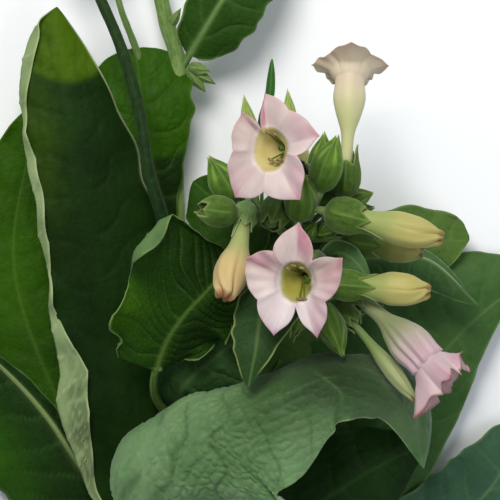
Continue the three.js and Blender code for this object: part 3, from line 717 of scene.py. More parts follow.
blooms = {
    "upper_flower": {
        "kind": "open", "foot": [19.5, 36.5, 54], "mouth": [6, 48.5, 96], "facing": [-0.42, 0.02, 0.9],
        "turn": 0.3, "look": openPetal, "throatReach": 8.2, "hollow": [5, 3.0],
        "tints": [0.5, 1.0, -0.45, -0.25, 0.4], "dims": [0.45, 0.5, 0.8, 0.4, 0.4],
        "lobes": [
            [13, 19.7], [59, 16.5], [97, 21], [107, 6.5], [129, 18.5],
            [181, 13.5], [230, 22.5], [265, 15.5], [302, 21.9], [348, 12.2],
        ],
        "anthers": [[95, 6.2, 1.0], [72, 5.8, 0.6], [275, 3.6, 0.2], [300, 5.2, 0.6], [318, 5.4, 0.4]],
        "stigma": [4, 5.0, 1.6],
    },
    "lower_flower": {
        "kind": "open", "foot": [23.5, 7.5, 57], "mouth": [15, 0.5, 101], "facing": [-0.2, -0.12, 0.97],
        "look": {**openPetal, "petal": "#dbd2d2", "throat": "#908c38", "deep": "#8e8d33"},
        "throatReach": 7.4, "hollow": [50, 2.4],
        "tints": [-0.6, -0.9, -0.8, -0.1, 0.5], "dims": [0.9, 0.6, 0.75, 0.0, 0.2],
        "lobes": [
            [28, 19.5], [51, 10.5], [87, 21.8], [125, 13.8], [157, 20.4],
            [206, 15], [248, 21.7], [274, 9], [291, 22.1], [330, 13.2],
        ],
        "anthers": [[120, 5.4, 0.6], [96, 5.9, 0.4], [62, 5.6, 0.8], [284, 6.2, 0.2], [300, 6.8, 0.6]],
        "stigma": [10, 4.9, 2.2],
    },
    "tall_flower": {
        "kind": "open", "foot": [34, 31.5, 56], "mouth": [36.5, 78.5, 50], "facing": [0.02, 0.86, -0.5],
        "turn": 0.9,
        "look": {**openPetal, "petal": "#cfc4ad", "blush": "#c9a79b", "tube": "#b8bb87", "rim": "#a8806f"},
        "reflex": 0.3, "sinusRise": 0.6, "vee": 1.1,
        "lobes": [
            [54, 10.5], [90, 9], [126, 10.5], [162, 9.8], [198, 15.5],
            [234, 13], [270, 20], [306, 13], [342, 15.5], [378, 9.8],
        ],
        "anthers": [[50, 3, 1], [120, 3, 1], [200, 3, 0], [270, 3, 1], [340, 3, 0]], "stigma": [0, 1.0, 2],
    },
    "faded_flower": {
        "kind": "open", "on": "right_twig", "foot": [33, 0.5, 60], "mouth": [64.5, -30, 86],
        "facing": [0.66, -0.7, 0.28], "spread": 0.45, "girth": 1.25,
        "look": {
            "petal": "#bba5aa", "blush": "#ad7590", "tube": "#818b62", "throat": "#a97a62", "deep": "#7d5238",
            "rim": "#7c4838",
        },
        "wilt": 1, "leans": [-1, 3, 4.5, 1, 1], "tints": [0.6, 0.3, 0.2, 0.4, 0.7], "rimWidth": 0.1,
        "lobes": [
            [14, 14.5], [52, 8.5], [92, 12], [136, 9], [184, 18.5],
            [216, 8.5], [250, 14], [285, 8.5], [322, 16], [350, 10],
        ],
        "anthers": [[50, 3, -2], [170, 3, -3], [290, 3, -2]], "stigma": [0, 2.0, -1],
    },
    "right_bud": {
        "kind": "shut", "foot": [26, 26.5, 76], "mouth": [70, 16, 82], "facing": [0.97, -0.24, 0.05],
        "size": 1.1, "girth": 1.05, "neck": 1.4, "teeth": [1.0, 1.3, 0.95, 0.85, 0.9],
    },
    "under_right_bud": {
        "kind": "shut", "foot": [32.5, 15.5, 60], "mouth": [64, 11, 62],
        "girth": 0.95, "full": 0.85, "neck": 1.4, "look": oliveBud,
    },
    "lower_right_bud": {
        "kind": "shut", "on": "right_twig", "foot": [27, -0.5, 74], "mouth": [65.5, -3.5, 80],
        "facing": [0.98, -0.08, 0.05], "neck": 1.35,
    },
    "hanging_bud": {
        "kind": "shut", "on": "left_twig", "foot": [-2.5, 29.5, 64], "mouth": [-11.5, -6, 88],
        "facing": [-0.35, -0.88, 0.4], "size": 0.8, "full": 1.1, "green": "capGreen", "blunt": 0.1,
        "teeth": [0.95, 0.9, 1.35, 0.95, 0.9],
        "look": {
            "petal": "#bda873", "blush": "#c3946c", "tube": "#9aa868", "throat": "#a2602f", "deep": "#a2602f",
            "rim": "#7c4824",
        },
    },
    "slim_bud": {
        "kind": "shut", "on": "right_twig", "foot": [30, -7, 58], "mouth": [59.5, -44, 84],
        "facing": [0.55, -0.78, 0.3], "girth": 0.9, "full": 0.52,
        "look": {
            "petal": "#8f9a68", "blush": "#9a9678", "tube": "#758c50", "throat": "#6f6f40", "deep": "#6f6f40",
            "rim": "#7a6042",
        },
    },
    "under_mid_bud": {"kind": "shut", "foot": [19.5, 26, 40], "mouth": [15, 57.5, 18], "full": 0.9},
    "front_left_pod": {
        "kind": "pod", "on": "left_twig", "foot": [-6.5, 25.5, 72], "mouth": [-23, 27.5, 78],
        "close": 0.45, "teeth": [0.9] * petals,
    },
    "middle_pod": {
        "kind": "pod", "on": "left_twig", "foot": [10.5, 31.5, 62], "mouth": [3, 15, 76],
        "close": 0.6, "teeth": [0.8] * petals,
    },
    "low_left_pod": {
        "kind": "pod", "on": "right_twig", "foot": [18, -6.5, 68], "mouth": [13, -25.5, 84],
        "girth": 0.78, "close": 0.5,
    },
    "under_low_pod": {"kind": "pod", "on": "right_twig", "foot": [23, 5, 36], "mouth": [33, -4.5, 20]},
    "left_bud": {"on": "left_twig", "foot": [-7, 30, 60], "mouth": [-17, 47, 64]},
    "tall_bud": {
        "on": "left_twig", "foot": [0, 43, 54], "mouth": [-4, 70.5, 56], "size": 0.64,
        "green": "youngBudGreen",
    },
    "centre_bud": {"foot": [16.5, 22.5, 70], "mouth": [19, 40, 78], "size": 1.05},
    "upper_right_bud": {"foot": [24.5, 33.5, 72], "mouth": [31, 54.5, 76]},
    "right_back_bud": {"foot": [24.5, 36.5, 54], "mouth": [26.5, 56.5, 52], "size": 0.8},
    "star_bud": {"foot": [13.5, 53, 50], "mouth": [13, 73, 50], "size": 0.48, "green": "youngBudGreen"},
    "right_small_bud": {"foot": [31.5, 29, 46], "mouth": [46, 34, 44], "size": 0.7},
    "right_low_bud": {"foot": [31, 24.5, 40], "mouth": [46.5, 28.5, 36], "size": 0.7},
    "young_bud": {"foot": [18, 16, 58], "mouth": [23.5, 22.5, 64], "size": 0.55},
    "side_young_bud": {"foot": [31, 20.5, 54], "mouth": [24, 17.5, 60], "size": 0.55},
    "low_bud": {"on": "right_twig", "foot": [25, -7.5, 66], "mouth": [33, -27.5, 78], "size": 0.9},
    "under_left_bud": {"on": "left_twig", "foot": [11, 18, 38], "mouth": [1, 26, 22]},
    "under_far_bud": {"foot": [27, 19.5, 38], "mouth": [38.5, 24, 20]},
}
blooms = {name: {**usualBloom, **bloom} for name, bloom in blooms.items()}
cup = {
    "length": 17, "radius": 5.8, "wall": 0.5, "columns": 70, "rows": 24, "innerRows": 18, "crowding": 0.85,
    "profile": [[0, 0.22], [0.08, 0.65], [0.3, 0.96], [0.5, 1], [0.66, 0.95], [0.85, 0.8], [1.06, 0.68]],
    "notch": 0.76, "tooth": 1.04, "uneven": 0.08, "point": 1.05, "keel": 0.1, "hollow": 0.03, "flare": 0.15,
    "rest": 0.75, "clasp": 0.85,
}
shutCup = {
    "profile": [[0, 0.22], [0.08, 0.6], [0.3, 0.97], [0.55, 0.96], [0.8, 0.54], [0.93, 0.2], [1, 0.05]],
    "columns": 60, "rows": 34, "keel": 0.1, "seam": 0.13, "seamWidth": 0.16, "seamEnd": 0.9, "uneven": 0.05,
    "point": 1.2, "tipSpread": 0.35, "lean": 0.05,
}
trumpet = {
    "radius": 6.1, "wall": 0.35, "foot": 3.35, "footRadius": 0.3,
    "columns": 16, "tubeRows": 40, "limbRows": 26,
    "innerRows": 30, "waves": 0.25, "dip": 1.9, "dipReach": 8.4, "mouthRadius": 0.92, "deepest": 0.36,
    "profile": [[0.3, 0.38], [0.52, 0.45], [0.66, 0.8], [0.77, 1], [0.95, 0.9], [1, 0.92]],
    "inside": [[0.36, 0.1], [0.7, 0.14], [0.82, 0.24], [0.88, 0.52], [0.94, 0.8], [1, 0.92]],
    "stamensFrom": 0.83, "threadRadius": 0.32, "styleRadius": 0.4,
}
shutTrumpet = {
    "profile": [[0.3, 0.42], [0.5, 0.62], [0.63, 0.92], [0.75, 1], [0.9, 0.68], [0.97, 0.4], [1, 0.16]],
    "columns": 90, "rows": 64, "pleat": 0.07, "pinch": 0.22, "twist": 0.9, "uneven": 0.035, "flap": 1.1,
    "tuck": 1.3,
}


def bloomLine(bloom):
    foot, mouth = np.array(bloom["foot"], float), np.array(bloom["mouth"], float)
    length = np.linalg.norm(mouth - foot)
    facing = unit(np.array(bloom.get("facing", mouth - foot), float))
    before = mouth - facing * length / 3
    after = foot + unit(before - foot) * length / 3
    wanted = xAxis if abs(facing[0]) < 0.8 else zAxis
    return {"curve": bezier(foot, after, before, mouth), "length": length, "wanted": wanted}


def bloomPoints(line, distance, radius, angle):
    distance, radius, angle = np.broadcast_arrays(distance, radius, angle)
    t = np.clip(distance / line["length"], 0, 1)
    tangent = tangentOf(line["curve"], t)
    centre = line["curve"](t) + tangent * (distance - t * line["length"])[..., None]
    side, up = across(tangent, line["wanted"])
    return centre + radius[..., None] * (np.cos(angle)[..., None] * side + np.sin(angle)[..., None] * up)


def shifted(radius, angle, shift, degrees):  # a radius and angle, moved sideways by a shift
    aim = np.radians(degrees)
    x, y = radius * np.cos(angle) + shift * np.cos(aim), radius * np.sin(angle) + shift * np.sin(aim)
    return np.hypot(x, y), np.arctan2(y, x)


def toothShare(angle, turn=0.0):  # 1 at the middle of a tooth and 0 halfway to the next
    place = (angle - turn) / (2 * np.pi) * petals % 1
    return np.abs(2 * place - 1)


def toothNumber(angle, turn):
    return np.floor((angle - turn) / (2 * np.pi) * petals + 0.5).astype(int) % petals


def shutRadius(bloom, share, foot):  # the closed corolla before its folds
    rows = [[foot, trumpet["footRadius"]], *shutTrumpet["profile"]]
    radius = profileAt(rows, share) * (trumpet["radius"] * bloom["full"])
    return radius * lerp(bloom["neck"], 1, ease(share, 0.45, 0.75))


def calyxGrid(bloom, line, seed):
    size, turn = bloom["size"], bloom["turn"]
    length, wide = cup["length"] * size, cup["radius"] * size * bloom["girth"]
    rng = np.random.default_rng(seed)
    angles = ringAngles(cup["columns"]) + turn
    tooth, which = toothShare(angles, turn), toothNumber(angles, turn)
    tips = cup["tooth"] + cup["uneven"] * rng.normal(size=petals)[which]
    reach = lerp(cup["notch"], tips, tooth ** cup["point"])
    reach = reach * lerp(1, np.array(bloom["teeth"])[which], tooth)
    flare = cup["flare"] * (0.4 + rng.uniform(-0.3, 0.9, petals)[which])
    up = shares(cup["rows"]) ** cup["crowding"]
    down = up[::-1][:cup["innerRows"]]

    def level(part, inward):
        share = part[:, None] * reach
        radius = profileAt(cup["profile"], share) * wide
        keel = cup["keel"] * tooth**6 * ease(share, 0.05, 0.4)
        radius = radius * (1 + keel - cup["hollow"] * (1 - tooth) ** 2 * ease(share, 0.2, 0.6))
        radius = radius + flare * ease(share, 0.72, 1.15) * tooth
        if bloom["kind"] == "shut":  # the cup lies close round the shut corolla
            resting = shutRadius(bloom, share * length / line["length"], 0.07) + cup["rest"]
            resting = np.maximum(resting, 0.45 * radius)
            radius = lerp(radius, resting, cup["clasp"] * ease(share, 0.6, 0.98))
        radius = radius * lerp(1, bloom["close"], ease(share, 0.6, 1.05)) - inward
        return bloomPoints(line, share * length, radius, angles + 0 * share), share

    outer, outerShare = level(up, 0)
    inner, innerShare = level(down, cup["wall"] * size)
    share = np.vstack([outerShare, innerShare])
    part = np.concatenate([up, down])[:, None] + 0 * angles
    inside = np.concatenate([0 * up, 0 * down + 1])[:, None] + 0 * angles
    return gridOf(
        np.concatenate([outer, inner]), ridge=0.7 * tooth**10 * ease(share, 0.1, 0.4) * (1 - inside),
        edge=ease(part, 0.9, 1.0) * 0.6, inside=inside * 0.9, foot=0.7 * fall(share, 0, 0.12),
        round=roundMark(angles, share * 0.8 + seed),
    )


def budGrid(size, line, seed):
    rng, turn = np.random.default_rng(seed), 0.3 * (seed % 5)
    angles = ringAngles(shutCup["columns"]) + turn
    tooth, which = toothShare(angles, turn), toothNumber(angles, turn)
    share = shares(shutCup["rows"])[:, None]
    tips = 1.0 + shutCup["uneven"] * rng.uniform(-1, 1, petals)[which]
    end = lerp(shutCup["seamEnd"], tips, tooth ** shutCup["point"])
    seam = shutCup["seam"] * (hump(tooth, shutCup["seamWidth"]) * ease(share, 0.4, 0.75))
    radius = profileAt(shutCup["profile"], share) * cup["radius"] * size
    radius = radius * (1 + shutCup["keel"] * tooth**4 * ease(share, 0.02, 0.3) - seam)
    loose = shutCup["tipSpread"] * size * rng.uniform(0, 1, petals)[which]
    radius = radius + loose * tooth * ease(share, 0.85, 1)
    distance = share * lerp(1, end, ease(share, 0.3, 1)) * line["length"]
    lean = shutCup["lean"] * rng.normal() * share**3
    seamEdge, tipEdge = 0.75 * hump(tooth, 0.28) * ease(share, 0.45, 0.7), 0.7 * ease(share, 0.88, 1)
    return gridOf(
        bloomPoints(line, distance, radius, angles + lean), ridge=0.6 * tooth**8 * ease(share, 0.1, 0.4),
        edge=np.maximum(seamEdge, tipEdge + 0 * tooth), inside=0 * distance,
        foot=0.6 * fall(share, 0, 0.12) + 0 * tooth, round=roundMark(angles, share * 0.8 + seed),
    )


def lobeAt(lobes, degrees):  # the limb's reach, share from a tip to its notch, petal number and side
    ring = np.array([*lobes, [lobes[0][0] + 360, lobes[0][1]]], float)
    i = np.clip(np.searchsorted(ring[:, 0], degrees, side="right") - 1, 0, len(lobes) - 1)
    share = (degrees - ring[i, 0]) / (ring[i + 1, 0] - ring[i, 0])
    rising = i % 2 == 1
    fromTip = np.where(rising, 1 - share, share)
    tip, notch = (np.where(way, ring[i + 1, 1], ring[i, 1]) for way in (rising, ~rising))
    bow = 0.66 * (1 - fromTip**2) + 0.34 * np.exp(-fromTip / 0.18)  # a round petal with a small point
    return notch + (tip - notch) * bow, fromTip, (i + 1) // 2 % petals, np.where(rising, -1, 1)


def corollaGrid(bloom, line, seed):
    lobes, openness, wilt = bloom["lobes"], bloom["spread"], bloom["wilt"]
    wide, length = trumpet["radius"] * bloom["girth"], line["length"]
    rimRadius = trumpet["mouthRadius"] * wide
    starts = np.array([degree for degree, _ in lobes] + [lobes[0][0] + 360.0])
    spans = zip(starts, starts[1:])
    degrees = np.concatenate([np.linspace(a, b, trumpet["columns"], endpoint=False) for a, b in spans])
    angles, turns = np.radians(degrees), degrees / 360
    reach, fromTip, which, side = lobeAt(lobes, degrees)
    petal = (1 - fromTip) ** 2
    lean = np.array(bloom["leans"])[which]
    dip = trumpet["dip"] * openness
    mouth = 1 - dip / length

    def tubeRows(part, inward):
        outside = [[trumpet["foot"] / length, trumpet["footRadius"]], *trumpet["profile"]]
        radius = profileAt(trumpet["inside"] if inward else outside, part)[:, None] * wide - inward
        radius = radius * (1 + 0.03 * np.cos(np.pi * fromTip) * ease(part, 0.5, 0.9)[:, None])
        radius = radius * (1 + wilt * 0.05 * ripples(turns, seed, 5, 17) * ease(part, 0.4, 1)[:, None])
        aim, shift = bloom["hollow"]
        inset = shift * fall(part, 0.8, mouth)[:, None] * (inward > 0)
        return bloomPoints(line, part[:, None] * length, *shifted(radius, angles, inset, aim))

    def limbRows(q, lift):
        q = q[:, None]
        rise = (4.2 * q - 2.2 * q**3) * openness + 14 * q * (1 - openness)
        rise = rise + bloom["vee"] * (fromTip - 0.5) * ease(q, 0, 0.5) * (1 - 0.35 * q)
        rise = rise + bloom["sinusRise"] * hump(1 - fromTip, 0.16) * q * (1 - 0.7 * q) * openness
        rise = rise - bloom["reflex"] * q**4 * petal * lerp(0.5, 1, openness)
        margin = trumpet["waves"] * (1 + 2.5 * wilt) * q**2
        rise = rise + margin * ripples(turns, seed + 3, 8 - 4 * wilt, 22 - 12 * wilt)
        rise = rise + lean * q**1.5 * (1 - 0.4 * fromTip)
        out = lerp(rimRadius, reach, q) * lerp(0.75, 1, openness)
        rise = rise - dip * fall(out, rimRadius, trumpet["dipReach"])
        out = out * (1 + wilt * 0.07 * q * ripples(turns, seed + 5, 3, 8)) - 0.3 * lift
        return bloomPoints(line, length + rise + lift, out, angles + 0 * q)

    tubePart = np.linspace(trumpet["foot"] / length, mouth, trumpet["tubeRows"])
    inPart = np.linspace(mouth - 0.005, trumpet["deepest"], trumpet["innerRows"])
    q = shares(trumpet["limbRows"])[1:]
    back, wall = q[::-1], trumpet["wall"]
    points = [tubeRows(tubePart, 0), limbRows(q, 0), limbRows(back, wall), tubeRows(inPart, wall)]
    part = np.concatenate([tubePart, 0 * q + 1, 0 * q + 1, inPart])[:, None] + 0 * degrees
    limb = np.concatenate([0 * tubePart, q, back, 0 * inPart])[:, None] + 0 * degrees
    inner = np.concatenate([0 * tubePart, 0 * q, 0 * q + 1, 0 * inPart + 1])[:, None] + 0 * degrees
    inTube = limb == 0
    throatReach = bloom["throatReach"] * (1 - 0.1 * np.cos(2 * angles))
    out = lerp(rimRadius, reach, limb) * (1 + 0.008 * ripples(turns, seed + 9, 4, 12)) + 20 * inTube
    # blush on one side of each petal's crease: partly the petal's own pink, partly painted shade of the fold
    tints = np.clip(np.array(bloom["tints"])[which] * side, 0, 1)
    sided = tints * ease(fromTip, 0, 0.08) * (1 - 0.45 * fromTip) * ease(limb, 0.15, 0.6)
    blush = limb * (0.03 + 0.5 * hump(fromTip, 0.03)) + sided
    blush = blush + 0.5 * petal**2 * ease(limb, 0.75, 1) + 0.25 * (1 - inner) * ease(part, 0.72, 1) * inTube
    # painted shade on the petals turned from the light, kept off the throat
    dusk = np.interp(degrees, [degree for degree, _ in lobes[::2]], bloom["dims"], period=360)
    throat = np.maximum(inTube * 1.0, 0.95 * fall(out, throatReach - 1.2, throatReach))
    return gridOf(
        np.concatenate(points), blush=np.clip(blush, 0, 1),
        tube=(1 - inner) * (1 - ease(part, 0.6, 0.98)) * inTube,
        throat=inner * throat, dusk=dusk * ease(out, throatReach - 1, throatReach + 1),
        deep=inner * fall(part, 0.72, 0.9), rim=lerp(0.5, 0.9, wilt) * ease(limb, 1 - bloom["rimWidth"], 1),
        round=roundMark(angles, part * 0.5 + limb * 0.35),
    )


def shutGrid(bloom, line, seed):
    full, length, foot = bloom["full"], line["length"], trumpet["foot"] / line["length"]
    angles = ringAngles(shutTrumpet["columns"])
    tooth, turns = toothShare(angles), angles / (2 * np.pi)
    share = np.linspace(foot, 1, shutTrumpet["rows"])[:, None]
    turned = angles - shutTrumpet["twist"] * ease(share, 0.72, 1.05) ** 2
    radius = shutRadius(bloom, share, foot)
    blunt = bloom["blunt"] * (trumpet["radius"] * full)
    radius = radius + blunt * ease(share, 0.8, 0.96) * (1 - 0.45 * ease(share, 0.97, 1))
    fold = hump(tooth - 1, 0.2) * (0.55 + 0.45 * ripples(turns, seed + 4, 0.5, 2.5))
    depth = shutTrumpet["pleat"] * ease(share, 0.4, 0.8) + shutTrumpet["pinch"] * ease(share, 0.8, 0.97)
    uneven = shutTrumpet["uneven"] * ripples(turns, seed, 2, 9) * ease(share, 0.4, 1)
    flap = shutTrumpet["flap"] * ease(share, 0.93, 1) * (1 - tooth) * full
    radius = radius * (1 - depth * fold + uneven) + flap
    distance = share * length - shutTrumpet["tuck"] * tooth * ease(share, 0.9, 1)
    points = bloomPoints(line, distance, radius, turned)
    flat, height = 0 * points[..., 0], points[..., 2]
    # painted shade: the side towards the floor takes the blush colour
    shaded = ease(-height + height.mean(1, keepdims=True), -1, 5)  # 1 on the side towards the floor
    # painted shade: a dark line in the throat and rim colours along each inward fold
    creaseShade = 0.7 * hump(tooth - 1, 0.1) * ease(share, 0.72, 0.95)
    return gridOf(
        points, blush=flat + 0.8 * shaded * ease(share, 0.45, 0.75), tube=flat + 1 - ease(share, 0.42, 0.75),
        throat=flat + creaseShade, deep=flat, round=roundMark(turned, share * 0.5),
        rim=flat + np.maximum(0.85 * ease(share, 0.94, 1), creaseShade * ease(share, 0.82, 0.98)),
    )


def stamenGrids(bloom, line):  # threads with anthers, from deep in the tube, and the style with its stigma
    t, (aim, shift) = shares(16), bloom["hollow"]
    deep = trumpet["stamensFrom"] * line["length"]
    grids = []
    ends = [("anther", one) for one in bloom["anthers"]] + [("stigma", bloom["stigma"])]
    for kind, (degrees, out, up) in ends:
        radius = lerp(0.6, out, t**1.15)
        place = shifted(radius, np.radians(degrees), shift * (1 - t), aim)
        path = bloomPoints(line, lerp(deep, line["length"] + up, t), *place)
        ahead = unit(path[-1] - path[-3])
        middle = path[-1] + ahead * 0.3
        grids.append(tubeGrid(path, trumpet["styleRadius" if kind == "stigma" else "threadRadius"], 8))
        if kind == "stigma":
            grids.append(blobGrid(middle, ahead, 0.8, 1.2, paint=1))
        else:
            grids.append(blobGrid(middle, unit(np.cross(ahead, [0.3, 1, 0.2])), 1.35, 0.6, paint=2))
    return grids


# Leaves. Rib, half, widest, fullness, fold, bend, roll, wave and stalk are the CAD's own, but halves and rolls
# that are long lists, and the cupped leaf's wave, follow the photo more finely than the CAD does.
# Pairs are for the left and the right half. A half is its widest reach, or its reaches from foot to tip, and
# then its widest and fullness are None. grid: rows along the rib and points across a half. step: millimetres
# between side veins. cell: size of the quilting. calm: shares of the rib between which it fades. fan: the
# point that the side veins spread from, and their reach. ribShift: how far off the rib's line the rib shows.
# quilt, pucker, ruffle and groove: heights in millimetres. crumple: share of the half where it starts, share
# of the rib where it ends, height and size; its creases get painted shade. glow: heights on the Y axis
# between which painted light brightens the leaf, along a line bent by glowBow. glowAt and
# shadeAt: soft spots of painted light and of painted shade, as zones takes them.

# painted shade: dark greens for leaves that lie in shade
shadedLeafLook = {
    "blade": "#16300a", "shade": "#0e2206", "glow": "#3f5c04", "vein": "#26401a", "rib": "#3d5a28",
    "margin": "#52703c", "underside": "#5d7c4c",
}
# painted light: bright greens for leaves lit from behind
backlitLeafLook = {
    "blade": "#2c5401", "shade": "#214401", "glow": "#3f6a06", "vein": "#3c5f14", "rib": "#4f7228",
    "margin": "#4f7028", "underside": "#6c8f4c",
}
# bluish grey-green: the leaf's own green with a painted sky reflection in it
coolSheenLook = {
    "blade": "#46653a", "shade": "#304f26", "glow": "#52702f", "vein": "#5f7e4c", "rib": "#75915f",
    "margin": "#809a66", "underside": "#86a27c",
}
midLook = {
    "blade": "#3a5a28", "shade": "#27451a", "glow": "#4c6c24", "vein": "#4f6f38", "rib": "#628048",
    "margin": "#6d8a4e", "underside": "#78976a",
}
usualLeaf = {
    "on": "main_stem", "step": 14, "quilt": 0.6, "pucker": 0.2, "ruffle": 1.0, "cell": 5.2, "calm": [2, 3],
    "widest": [0.42, 0.42], "fullness": [1.5, 1.5], "fold": [[0], [0]], "bend": [-10, -10], "roll": [0, 0],
    "rollFrom": [0.8], "rollOver": 1, "wave": [0, 0], "stalk": 0.04, "slim": False, "ribShift": 0,
    "ribShows": 0.35, "veinsShow": 0.3, "groove": 0.5, "glowBow": 0, "glowAt": [], "shadeAt": [],
}
